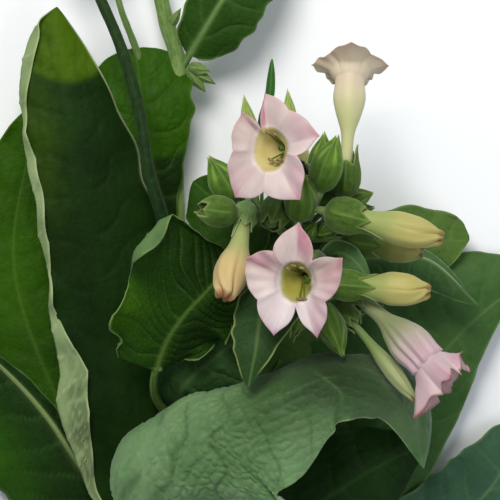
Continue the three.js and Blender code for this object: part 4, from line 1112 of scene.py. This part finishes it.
leaves = {
    "big_left_leaf": {
        "grid": [202, 39], "step": 17, "quilt": 0.25, "pucker": 0.08, "ruffle": 1.4,
        # painted light on the tip above a bent line, as past a shadow's edge; the dark blade below stands for
        # shade
        "glow": [75, 80], "glowBow": 2.5,
        "rib": [
            [-22.5, -111, 8], [-44, -74, 20], [-58.5, -19, 26],
            [-65.5, 27.5, 28], [-71.5, 70.5, 28], [-77, 107, 24],
        ],
        "half": [
            [
                12, 17, 21.5, 25.2, 29.8, 34.5, 36, 30.5, 23, 19.9, 20.6,
                22.7, 23.2, 23.5, 23.3, 22.1, 22.8, 22.3, 20.7, 15, 0,
            ],
            31,
        ],
        "widest": [None, 0.38], "fullness": [None, 1.45],
        "fold": [[6, 0], [0, -10]], "bend": [0, -20], "roll": [165, 0], "rollOver": 0.12,
        "rollFrom": [
            0.9, 0.88, 0.86, 0.83, 0.787, 0.686, 0.6, 0.572, 0.696, 0.835, 0.873,
            0.78, 0.783, 0.766, 0.767, 0.861, 0.817, 0.744, 0.693, 0.652, 0.65,
        ],
        "ribShows": 0.0, "veinsShow": 0.05, "groove": 0.12, "crumple": [0.72, 0.42, 0.8, 11],
        "glowAt": [[0.74, -14, 0.14, 8, 0.4]],
        "look": {
            **shadedLeafLook, "underside": "#83976a", "rib": "#a0b283", "margin": "#a3b282",
            "bump": 0.3, "gloss": 0.05,
        },
    },
    "far_left_leaf": {
        "grid": [132, 26], "step": 16,
        "rib": [[-23.5, -117, 7], [-55, -87.5, 5], [-78, -47.5, 3.6], [-95.5, 8, 3.9], [-85, 70.5, 4]],
        "half": [26, 27], "widest": [0.58, 0.5], "look": backlitLeafLook,
    },
    "low_left_leaf": {
        "grid": [114, 23],
        "rib": [
            [-23, -123, 7], [-45, -102.5, 12], [-65, -77.5, 17],
            [-81.5, -53, 18], [-100, -33.5, 16], [-117.5, -22, 10],
        ],
        "half": [34, 6], "fold": [[-6], [-30]], "bend": [-16, 0], "stalk": 0.1, "ribShows": 0.8,
        # a spot of painted light on the left half
        "glowAt": [[0.75, -30, 0.3, 14, 1.0]],
        "look": {**shadedLeafLook, "rib": "#8fa668", "vein": "#3a5c28", "glow": "#2f5f0c"},
    },
    "round_leaf": {
        # painted light on the upper part; the dark blade below it is painted shade
        "grid": [114, 35], "step": 13, "ruffle": 0.8, "glow": [46, 50], "glowBow": 1.5,
        "rib": [[-27.5, 7.5, 9], [-36, 29.5, 16], [-41, 51, 20], [-44, 70.5, 21], [-46.5, 91.5, 15]],
        "half": [22, 20.5], "widest": [0.74, 0.76], "fullness": [1.7, 1.7], "bend": [-12, -12],
        "look": {**backlitLeafLook, "blade": "#1c3310", "shade": "#14290a", "glow": "#2a5202"},
    },
    "front_leaf": {
        "grid": [255, 49], "step": 13, "quilt": 1.1, "pucker": 0.6, "fan": [-12, -4, 45], "calm": [0.4, 0.75],
        "cell": 4.2,
        "rib": [
            [-21.5, -131, 6], [-29, -101, 44], [-30, -78, 68], [-16.5, -56, 80],
            [6.5, -43.5, 84], [31, -35, 82], [53.5, -44.5, 74], [64, -70.5, 60],
        ],
        "half": [
            [14, 34, 37, 35, 33.5, 32, 31, 30, 27, 21, 0],
            [10, 26, 36, 38, 37, 31.5, 24, 17.5, 14, 7, 0],
        ],
        "fold": [[-8, -20, -50, -52, -20], [-4, -12]], "bend": [-38, -10], "wave": [1.6, 2.5], "stalk": 0.1,
        "roll": [-40, 0], "rollFrom": [0.5], "rollOver": 0.5, "ribShift": -22,
        "ribShows": 0.15, "veinsShow": 0.75,
        # the painted light colour here is dark: these spots paint shade over the blade round the rib towards
        # the tip
        "glowAt": [[0.72, 0, 0.24, 16, 1], [0.78, -12, 0.2, 16, 0.9], [0.8, 10, 0.2, 12, 0.7]],
        "look": {
            **coolSheenLook, "blade": "#6a8c5e", "shade": "#4c7440", "glow": "#1c3209", "sheen": 0.12,
            "vein": "#3f6033", "rib": "#6d8a58", "bump": 0.5, "gloss": 0.2,
        },
    },
    "dark_leaf": {
        "grid": [123, 30], "quilt": 0.7, "pucker": 0.15,
        "rib": [[-20.5, -135, 6], [3, -104.5, 28], [27.5, -84, 40], [48.5, -70.5, 44], [67, -62, 40]],
        "half": [22, 22], "fold": [[-4], [-8]], "bend": [-10, -20], "stalk": 0.1,
        # a darker blade still: painted shade for a leaf lying in shade under the front leaf
        "look": {**shadedLeafLook, "blade": "#17330e", "shade": "#0f2409", "rib": "#2f5222", "margin": "#2f5222"},
    },
    "right_mid_leaf": {
        "on": "flower_branch", "grid": [106, 23], "step": 9, "ruffle": 0.8,
        "rib": [[16, 12, 47], [35, 7.5, 44], [50, 9.5, 46], [67.5, 7.5, 42], [87, -9.5, 32]],
        "half": [9, 17], "fold": [[-55], [-8]], "stalk": 0.1, "look": coolSheenLook,
    },
    "right_top_leaf": {
        "grid": [132, 25], "step": 13, "quilt": 0.8, "pucker": 0.25, "ruffle": 1.2,
        "rib": [[-27, -39.5, 8], [2.5, -11.5, 18], [30, 3.5, 22], [59, 13.5, 22], [85, 16, 14]],
        "half": [16, [8, 20, 27, 30, 27, 22, 19, 18, 16, 12, 0]], "widest": [0.62, None],
        "fullness": [1.0, None],
        "fold": [[0], [-6]], "bend": [-8, -8], "wave": [1.8, 4],
        "look": {**midLook, "blade": "#4e6a30", "shade": "#3c5928", "vein": "#647e44"},
    },
    "right_big_leaf": {
        "grid": [176, 28], "step": 15, "quilt": 0.7, "pucker": 0.25, "ruffle": 1.2,
        "rib": [[-21.5, -123, 6], [18, -90.5, 14], [51.5, -55, 17], [85, -17.5, 15], [118, 7, 1.5]],
        "half": [[10, 24, 35, 42, 45.5, 46, 44, 38, 28, 15, 0], 30], "widest": [None, 0.35],
        "fullness": [None, 3],
        "fold": [[0], [-4]], "bend": [-10, -14],
        "look": {**midLook, "blade": "#456436", "shade": "#2f5126"},
    },
    "right_low_leaf": {
        "grid": [132, 25], "quilt": 0.7, "pucker": 0.25,
        "rib": [[-20, -139, 5], [26, -122, 12], [65.5, -104, 14], [93, -82.5, 12], [105.5, -57, 8]],
        "half": [20, 20], "widest": [0.62, 0.55], "bend": [-10, -12],
        "look": {**coolSheenLook, "blade": "#456a50", "shade": "#345740"},
    },
    "hanging_leaf": {
        "on": "right_twig", "grid": [106, 26], "step": 9, "quilt": 0.4, "pucker": 0.15, "ruffle": 0.5,
        "rib": [[11, 1.5, 44], [6, -1.5, 70], [2.5, -11.5, 80], [0.5, -25, 86], [-2, -38.5, 85]],
        "half": [[9, 13, 16, 16.5, 15, 12.5, 10, 7.5, 5, 2.5, 0], 10], "widest": [None, 0.5],
        "fold": [[0, 10], [-10, -20]], "bend": [0, 0], "stalk": 0.1, "ribShows": 0.6,
        "look": {
            **coolSheenLook, "blade": "#2a4420", "shade": "#1e3617", "vein": "#3a5730", "rib": "#56703f",
            "margin": "#88995a",
        },
    },
    "cupped_leaf": {
        "grid": [202, 48], "step": 4.6, "quilt": 1.0, "ruffle": 2.6,
        "rib": [
            [-26.5, -63.5, 8], [-38, -44, 34], [-34.5, -26, 48],
            [-26.5, -13, 58], [-16, -1.5, 62], [-8.5, 9.5, 56],
        ],
        "half": [[14, 20.5, 21.5, 23, 27, 33, 39, 42, 36, 26, 8], [5, 12, 18, 21, 22, 21, 20, 18, 15, 10, 3]],
        "fold": [[-6, 10, 20], [-30, -18]], "bend": [20, -10], "rollOver": 0.16,
        "roll": [[0, 0, 0, 20, 120, 30, 50, 100, 168, 40, 150], [0, 0, 0, 60, 150, 165, 60, 150, 90, 60, 40]],
        "rollFrom": [0.8, 0.8, 0.8, 0.8, 0.82, 0.86, 0.84, 0.78, 0.78, 0.8, 0.72],
        "wave": [2.4, 4.5], "stalk": 0.3, "ribShows": 0.75, "veinsShow": 0.75,
        # painted shade inside the cup beside the rib and on the right half; painted light on the outer left
        # lobe
        "shadeAt": [[0.85, -9, 0.22, 15, 1.0], [0.6, 8, 0.4, 10, 0.9]],
        "glowAt": [[0.48, -26, 0.12, 12, 0.9]],
        "look": {
            **backlitLeafLook, "blade": "#234809", "shade": "#152c06", "glow": "#3d640c", "vein": "#3c5c20",
            "rib": "#5a7436", "margin": "#6f8a50", "underside": "#587548",
        },
    },
    "shaded_leaf": {
        "grid": [88, 23], "step": 8, "quilt": 1.2, "pucker": 0.4, "ruffle": 2.0,
        "rib": [[-26.5, -57.5, 8], [-28.5, -43, 30], [-18.5, -32.5, 38], [-8.5, -24.5, 41], [1.5, -20, 38]],
        "half": [15, 19], "widest": [0.42, 0.66], "bend": [-20, -20], "wave": [2, 3], "stalk": 0.1,
        "look": {**midLook, "blade": "#33532a", "shade": "#223f1a"},
    },
    "back_leaf": {
        "on": "left_twig", "grid": [62, 18], "step": 7, "quilt": 0.5, "ruffle": 0.6,
        "rib": [[7, 22, 54], [1, 22.5, 46], [-7.5, 26, 42], [-16, 32, 38], [-23.5, 38.5, 32]],
        "half": [18, 12], "widest": [0.5, 0.6],
        "look": {**backlitLeafLook, "blade": "#28480f", "shade": "#1c380a"},
    },
    "slim_bract": {
        "on": "left_twig", "grid": [62, 7], "step": 5, "quilt": 0.1, "pucker": 0.05, "ruffle": 0.15,
        "slim": True,
        "rib": [[3, 25.5, 55], [3, 42, 46], [3, 58, 46], [6, 71.5, 46], [7, 85.5, 42]],
        "half": [2.1, 2.1], "widest": [0.6, 0.6], "fold": [[20], [20]], "bend": [0, 0],
        "look": {**midLook, "blade": "#2f5f26", "shade": "#214c1b"},
    },
    "right_bract": {
        "on": "right_twig", "grid": [62, 12], "step": 5, "quilt": 0.2, "pucker": 0.1, "ruffle": 0.3,
        "slim": True,
        "rib": [[27.5, 3, 50], [30, 10.5, 62], [36.5, 9, 68], [44, 0, 70]],
        "half": [5, 7], "bend": [0, 0], "look": coolSheenLook,
    },
    "top_leaf": {
        "grid": [106, 23], "step": 12,
        "rib": [
            [-29.5, 80.5, 14], [-26, 87.5, 18], [-18, 100, 27],
            [-9.5, 113, 31], [3, 128, 27], [17.5, 144.5, 14],
        ],
        "half": [12, 17], "widest": [0.4, 0.4], "fullness": [1.1, 1.1], "fold": [[0], [-6]], "bend": [0, -14],
        "stalk": 0.22, "ribShows": 1.0,
        "look": {**midLook, "blade": "#2c4d16", "shade": "#203e10", "rib": "#66834a", "underside": "#4f6e36"},
    },
}
leaves = {name: {**usualLeaf, **leaf} for name, leaf in leaves.items()}
usualBract = {
    **usualLeaf, "grid": [53, 12], "step": 5, "quilt": 0.3, "pucker": 0.12, "ruffle": 0.6, "slim": True,
    "fold": [[12], [12]], "widest": [0.45, 0.45], "fullness": [1.1, 1.1],
}
bracts = [  # small leaves among the stalks, each part of its twig
    {"on": "flower_branch", "rib": [[21, 26, 53], [24, 32, 47], [27, 38, 43], [30, 44, 38]], "half": [7, 7]},
    {"on": "flower_branch", "rib": [[17, 16, 50], [15, 22, 46], [12, 28, 44], [9, 34, 40]], "half": [7, 6]},
    {"on": "left_twig", "rib": [[12, 17, 51], [8, 14, 47], [4, 10, 44], [0, 4, 42]], "half": [7, 6]},
    {"on": "right_twig", "rib": [[22, 2.5, 48], [25, -4, 46], [28, -11, 43], [30, -18, 40]], "half": [6, 7]},
    {"on": "right_twig", "rib": [[24, 3, 49], [30, 10, 46], [37, 14, 45], [44, 15, 42]], "half": [6, 6]},
]
looseBuds = [  # foot, mouth and size of small buds on the main stem
    [[-26, 84, 16], [-17, 82, 21], 0.42], [[-26, 84, 16], [-15, 77, 18], 0.36],
    [[-26, 84, 16], [-19, 74, 16], 0.4], [[-34, 99, 13], [-28.5, 107, 17], 0.32],
]
leafShape = {
    "ribRadius": 2.2, "slimRib": 0.9, "ribTip": 0.35, "ribSides": 14, "span": [0.012, 0.999],
    "thick": 0.6, "thin": 0.36, "slimShare": 0.6, "uneven": 0.025, "unevenWaves": (3, 9),
    "rufflePitch": 60, "ruffleWaves": (1.2, 4.5), "veinLean": 0.5, "veinCurve": 0.006, "fullStep": 12,
    "stray": [2.2, 26], "fanStray": [1.6, 24], "otherSide": 0.45, "veinWidth": 0.8, "veinSink": 0.35,
    "underVein": 0.4, "grooveWidth": 2.5,
}


def bladeShare(t, widest, fullness):
    t = np.clip(t, 1e-6, 1 - 1e-6)
    return ((t / widest) ** widest * ((1 - t) / (1 - widest)) ** (1 - widest)) ** fullness


def listed(value):
    return value if isinstance(value, list) else [value]


def halfReach(leaf, k, blade):  # a half's width in millimetres, and as a share of its widest
    half = leaf["half"][k]
    if isinstance(half, list):
        reach = np.maximum(curveThrough([[one] for one in half])(blade)[:, 0], 0) * ease(blade, 0, 0.03)
        return reach, reach / max(half)
    share = bladeShare(blade, leaf["widest"][k], leaf["fullness"][k])
    return half * share, share


# Soft spots at [share of the rib, millimetres beside it, reach along, reach across, strength].
def zones(spots, t, side):
    mask = 0 * side
    for at, beside, lengthwise, wide, strength in spots:
        mask = np.maximum(mask, strength * hump(t[:, None] - at, lengthwise) * hump(side - beside, wide))
    return mask


def ribLine(leaf):  # points and directions along the rib, with its radius and the share of the blade
    stalk, stem = leaf["stalk"], stemCurves[leaf["on"]]
    foot = stem(np.array(nearestShare(stem, np.array(leaf["rib"][0], float))))
    curve = curveThrough([foot, *leaf["rib"][1:]])
    t = lerp(*leafShape["span"], shares(leaf["grid"][0]))
    centre = curve(t)
    flat, level = across(tangentOf(curve, t), zAxis)
    radius = lerp(leafShape["slimRib" if leaf["slim"] else "ribRadius"], leafShape["ribTip"], t)
    return {
        "t": t, "centre": centre, "flat": flat, "level": level, "radius": radius,
        "along": lengthAlong(centre), "blade": np.clip((t - stalk) / (1 - stalk), 0, 1),
    }


def halfSheet(leaf, line, k, seed):  # one half's points, folded, bent, rolled and ruffled, with their places
    t, radius, shape = line["t"], line["radius"], leafShape
    v = shares(leaf["grid"][1])
    middle = (v[1:] + v[:-1]) / 2
    reach, share = halfReach(leaf, k, line["blade"])
    uneven = reach * (1 + shape["uneven"] * ripples(t, seed + k, *shape["unevenWaves"]))
    half = np.maximum(uneven, 0.55 * radius * ease(1 - t, 0, 0.05))
    turned = through(listed(leaf["roll"][k]), t) * np.minimum(1, 2 * share)
    start = through(leaf["rollFrom"], t)
    finish = np.minimum(1, start + leaf["rollOver"])
    slope = through(leaf["fold"][k], t)[:, None] + leaf["bend"][k] * middle
    slope = np.radians(slope + turned[:, None] * ease(middle, start[:, None], finish[:, None]))
    step, zero = half[:, None] * np.diff(v), np.zeros((len(t), 1))
    x = np.hstack([zero, np.cumsum(step * np.cos(slope), 1)])
    y = np.hstack([zero, np.cumsum(step * np.sin(slope), 1)])
    height, count = leaf["wave"]
    y = y + (height * share * np.sin(2 * np.pi * count * t + 2.1 * k))[:, None] * v**2
    margin = ripples(line["along"] / shape["rufflePitch"], seed + 11 + k, *shape["ruffleWaves"])
    margin = leaf["ruffle"] * np.minimum(1, 3 * share) * margin
    y = y + margin[:, None] * v**4
    hand = 2 * k - 1
    points = line["centre"][:, None] + line["level"][:, None] * (hand * x)[..., None]
    blank = 0 * half[:, None] * v
    return {
        "points": points + line["flat"][:, None] * y[..., None], "out": half[:, None] * v, "v": v + blank,
        "half": half[:, None] + blank, "share": share[:, None] + blank,
    }


def normals(points):
    return unit(np.cross(np.gradient(points, axis=1), np.gradient(points, axis=0)))


def leafGrids(leaf, seed):
    line = ribLine(leaf)
    t, blade, along, radius = line["t"], line["blade"], line["along"], line["radius"]
    rows, cols = leaf["grid"]
    left, right = (halfSheet(leaf, line, k, seed) for k in (0, 1))
    p, w, v, half, share = (np.concatenate([left[key][:, ::-1], right[key][:, 1:]], 1) for key in left)
    s, side = along[:, None] + 0 * w, w * np.concatenate([np.full(cols, -1), np.ones(cols - 1)])

    # Side veins at even steps, and quilting between them
    shape, step = leafShape, leaf["step"]
    stepShare = min(1, step / shape["fullStep"])
    shift = leaf["ribShift"] * ease(blade, 0, 0.3) * (1 - ease(blade, 0.7, 1))
    fromRib = np.abs(side - shift[:, None])
    stray, size = shape["fanStray" if "fan" in leaf else "stray"]
    bent = s - shape["veinLean"] * fromRib - shape["veinCurve"] * fromRib**2
    if "fan" in leaf:
        x0, y0, reach = leaf["fan"]
        bent = reach * np.arctan2(p[..., 0] - x0, y0 - p[..., 1])
    bent = bent + stray * lumps(s, side, size, seed + 1)
    phase = bent / step + np.where(side < shift[:, None], shape["otherSide"], 0)
    fromVein = np.abs(phase - np.round(phase)) * step
    part = phase - np.floor(phase)
    between = (4 * part * (1 - part)) ** 0.7
    vein = hump(fromVein, shape["veinWidth"] * lerp(1.15, 0.45, v) * stepShare)
    vein = vein * ease(half, 3, 8) * (1 - 0.6 * ease(v, 0.75, 1))
    cell = leaf["cell"] * stepShare
    near, after = cells((s + 1.5 * lumps(s, w, 9, seed + 2)) / cell, side / cell * 1.15, seed)
    dome = ease(after - near, 0, 0.55)
    fade = ease(fromRib, 0.5, 5) * lerp(1, 0.5, v) * ease(share, 0.05, 0.5)
    fade = fade * lerp(1, 0.3, ease(t, *leaf["calm"]))[:, None]
    height = fade * (leaf["quilt"] * (between - 0.5) + leaf["pucker"] * (dome - 0.5) * 1.6)
    height = height - shape["veinSink"] * vein * fade
    height = height - leaf["groove"] * hump(fromRib, shape["grooveWidth"]) * ease(half, 3, 10)
    creaseShade = 0 * w
    if "crumple" in leaf:
        start, until, lift, size = leaf["crumple"]
        field = np.abs(lumps(s + 0.6 * w, 1.5 * w, size, seed + 4))
        crumpled = ease(v, start, start + 0.12) * fall(t, until - 0.12, until)[:, None]
        height = height + lift * crumpled * (1.6 * np.minimum(field, 0.6) - 0.5)
        # painted shade in the crumpled hollows: less of the pale underside colour shows there, so the top's
        # dark tone comes through
        creaseShade = 0.45 * crumpled * ease(field, 0.22, 0.6)

    # The sheet's two faces and their marks
    p = p + normals(p) * height[..., None]
    out = normals(p)
    thick = 0.5 * (lerp(shape["thick"], shape["thin"], v) * (shape["slimShare"] if leaf["slim"] else 1))
    upper = p + out * thick[..., None]
    lower = p - out * (thick + shape["underVein"] * vein * fade)[..., None]

    def both(top, bottom):
        return np.concatenate([top, bottom[:, ::-1]], 1)

    ribMask = leaf["ribShows"] * hump(fromRib, 0.75 * radius[:, None])
    underRib = np.maximum(hump(fromRib, 1.1 * radius[:, None]), 0.6 * vein)
    edge = ease(w, half - 0.9, half - 0.1) * 0.8 * ease(half, 2, 5)
    # painted light: soft spots, and on some leaves all above a bent line on the Y axis, take the painted light
    # colour
    glow = zones(leaf["glowAt"], t, side)
    if "glow" in leaf:
        glow = np.maximum(ease(p[..., 1] - leaf["glowBow"] * side**2 / 100, *leaf["glow"]), glow)
    # painted shade: the dips between side veins and in the quilting, and the shadeAt spots, darken towards the
    # Shade colour
    hollow = fade * ((1 - between) * 0.3 + (1 - dome) * 0.25)
    hollow = np.clip(hollow + zones(leaf["shadeAt"], t, side), 0, 1)
    place = np.stack([s / 10, side / 10, 0 * w + seed], -1)
    sheet = gridOf(
        both(upper, lower), rib=both(ribMask, underRib), vein=both(leaf["veinsShow"] * vein, 0 * w),
        edge=both(edge, edge), beneath=both(0 * w, 1 - creaseShade), glow=both(glow, glow),
        hollow=both(hollow, 0 * w), place=both(place, place),
    )

    # The round rib under the sheet
    def onRib(field):
        rows = zip(shift, side, field)
        return np.array([[np.interp(at, row, values[:, c]) for c in range(3)] for at, row, values in rows])

    core = onRib(p) - unit(onRib(out)) * (0.92 * radius)[:, None]
    marks = {"rib": 0.8, "vein": 0.0, "edge": 0.0, "beneath": 1.0, "glow": 0.0, "hollow": 0.0}
    tube = tubeGrid(core, radius * 0.86 * ease(1 - t, -0.02, 0.04), shape["ribSides"], **marks)
    blank = np.zeros((rows, shape["ribSides"]))
    tube["marks"].pop("round")
    tube["marks"]["place"] = np.stack([along[:, None] / 10 + blank, blank, blank + seed], -1)
    return [sheet, tube]


# Putting the shoot together

lines = {name: bloomLine(bloom) for name, bloom in blooms.items()}
skinPaints = {title: downFinish(title, look) for title, look in greens.items()}
bractPaint = leafFinish("bractGreen", {**midLook, "blade": "#31501c", "shade": "#22400f"})
stamenPaints = [
    plainFinish("stamenThread", "#6f7a2c", "#49551a", 0.5),
    plainFinish("stigmaGreen", "#3c5618", "#26400c", 0.35),
    plainFinish("antherBrown", "#94845a", "#5f5030", 0.6),
]


def tuftGrids(name, stem):  # small buds at a stem's tip, the first ahead and the others leaning out
    tip, ahead = stemCurves[name](np.array(1.0)), tangentOf(stemCurves[name], 1.0)
    side, up = across(ahead, xAxis)
    grids = []
    for k in range(stem.get("tuft", 0)):
        angle = 2 * np.pi * k / stem["tuft"] + stemShape["tuftTurn"]
        lean = 0.1 if k == 0 else stemShape["tuftLean"]
        aim = unit(ahead + lean * (np.cos(angle) * side + np.sin(angle) * up))
        foot = tip - stemShape["tuftSink"] * aim
        line = bloomLine({"foot": foot, "mouth": foot + aim * stemShape["tuftLength"]})
        grids.append(budGrid(stemShape["tuftSize"], line, 40 + k))
    return grids


for name, stem in stems.items():
    grids = [limbGrid(name, stem)]
    grids += [stalkGrid(bloom, lines[key]) for key, bloom in blooms.items() if bloom["on"] == name]
    grids += tuftGrids(name, stem)
    if name == "main_stem":
        for k, (foot, mouth, size) in enumerate(looseBuds):
            grids.append(budGrid(size, bloomLine({"foot": foot, "mouth": mouth}), 50 + k))
    for k, bract in enumerate(bracts):
        if bract["on"] == name:
            grids += [{**grid, "paint": 1} for grid in leafGrids({**usualBract, **bract}, 60 + k)]
    addPiece(name, grids, [skinPaints[stem.get("green", "greenStem")], bractPaint])
print("stems and stalks built")

for seed, (name, bloom) in enumerate(blooms.items()):
    line, kind = lines[name], bloom["kind"]
    paint = skinPaints[bloom.get("green", "budGreen" if kind == "bud" else "calyxGreen")]
    if kind == "bud":
        addPiece(name, [budGrid(bloom["size"], line, seed)], [paint])
    if kind == "pod":
        middle, aim = line["curve"](np.array(0.42)), tangentOf(line["curve"], 0.42)
        ovary = blobGrid(middle, aim, 5.2, 0.62 * cup["radius"] * bloom["girth"], 24, 16, ridge=0.5, foot=0.0)
        addPiece(name, [calyxGrid(bloom, line, seed), ovary], [paint])
    if kind == "open":
        addPiece(name + "_calyx", [calyxGrid({**bloom, "girth": 1}, line, seed)], [paint])
        addPiece(name, [corollaGrid(bloom, line, seed)], [petalFinish(pieceName(name), bloom["look"])])
        addPiece(name, stamenGrids(bloom, line), stamenPaints, "Stamens")
    if kind == "shut":
        addPiece(name + "_calyx", [calyxGrid(bloom, line, seed)], [paint])
        addPiece(name, [shutGrid(bloom, line, seed)], [petalFinish(pieceName(name), bloom["look"])])
print("flowers, buds and calyxes built")

for seed, (name, leaf) in enumerate(leaves.items()):
    addPiece(name, leafGrids(leaf, 100 + 10 * seed), [leafFinish(pieceName(name), leaf["look"])])
print("leaves built")

bpy.context.view_layer.update()
size = [[list(corner) for corner in box] for box in (cadBox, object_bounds())]
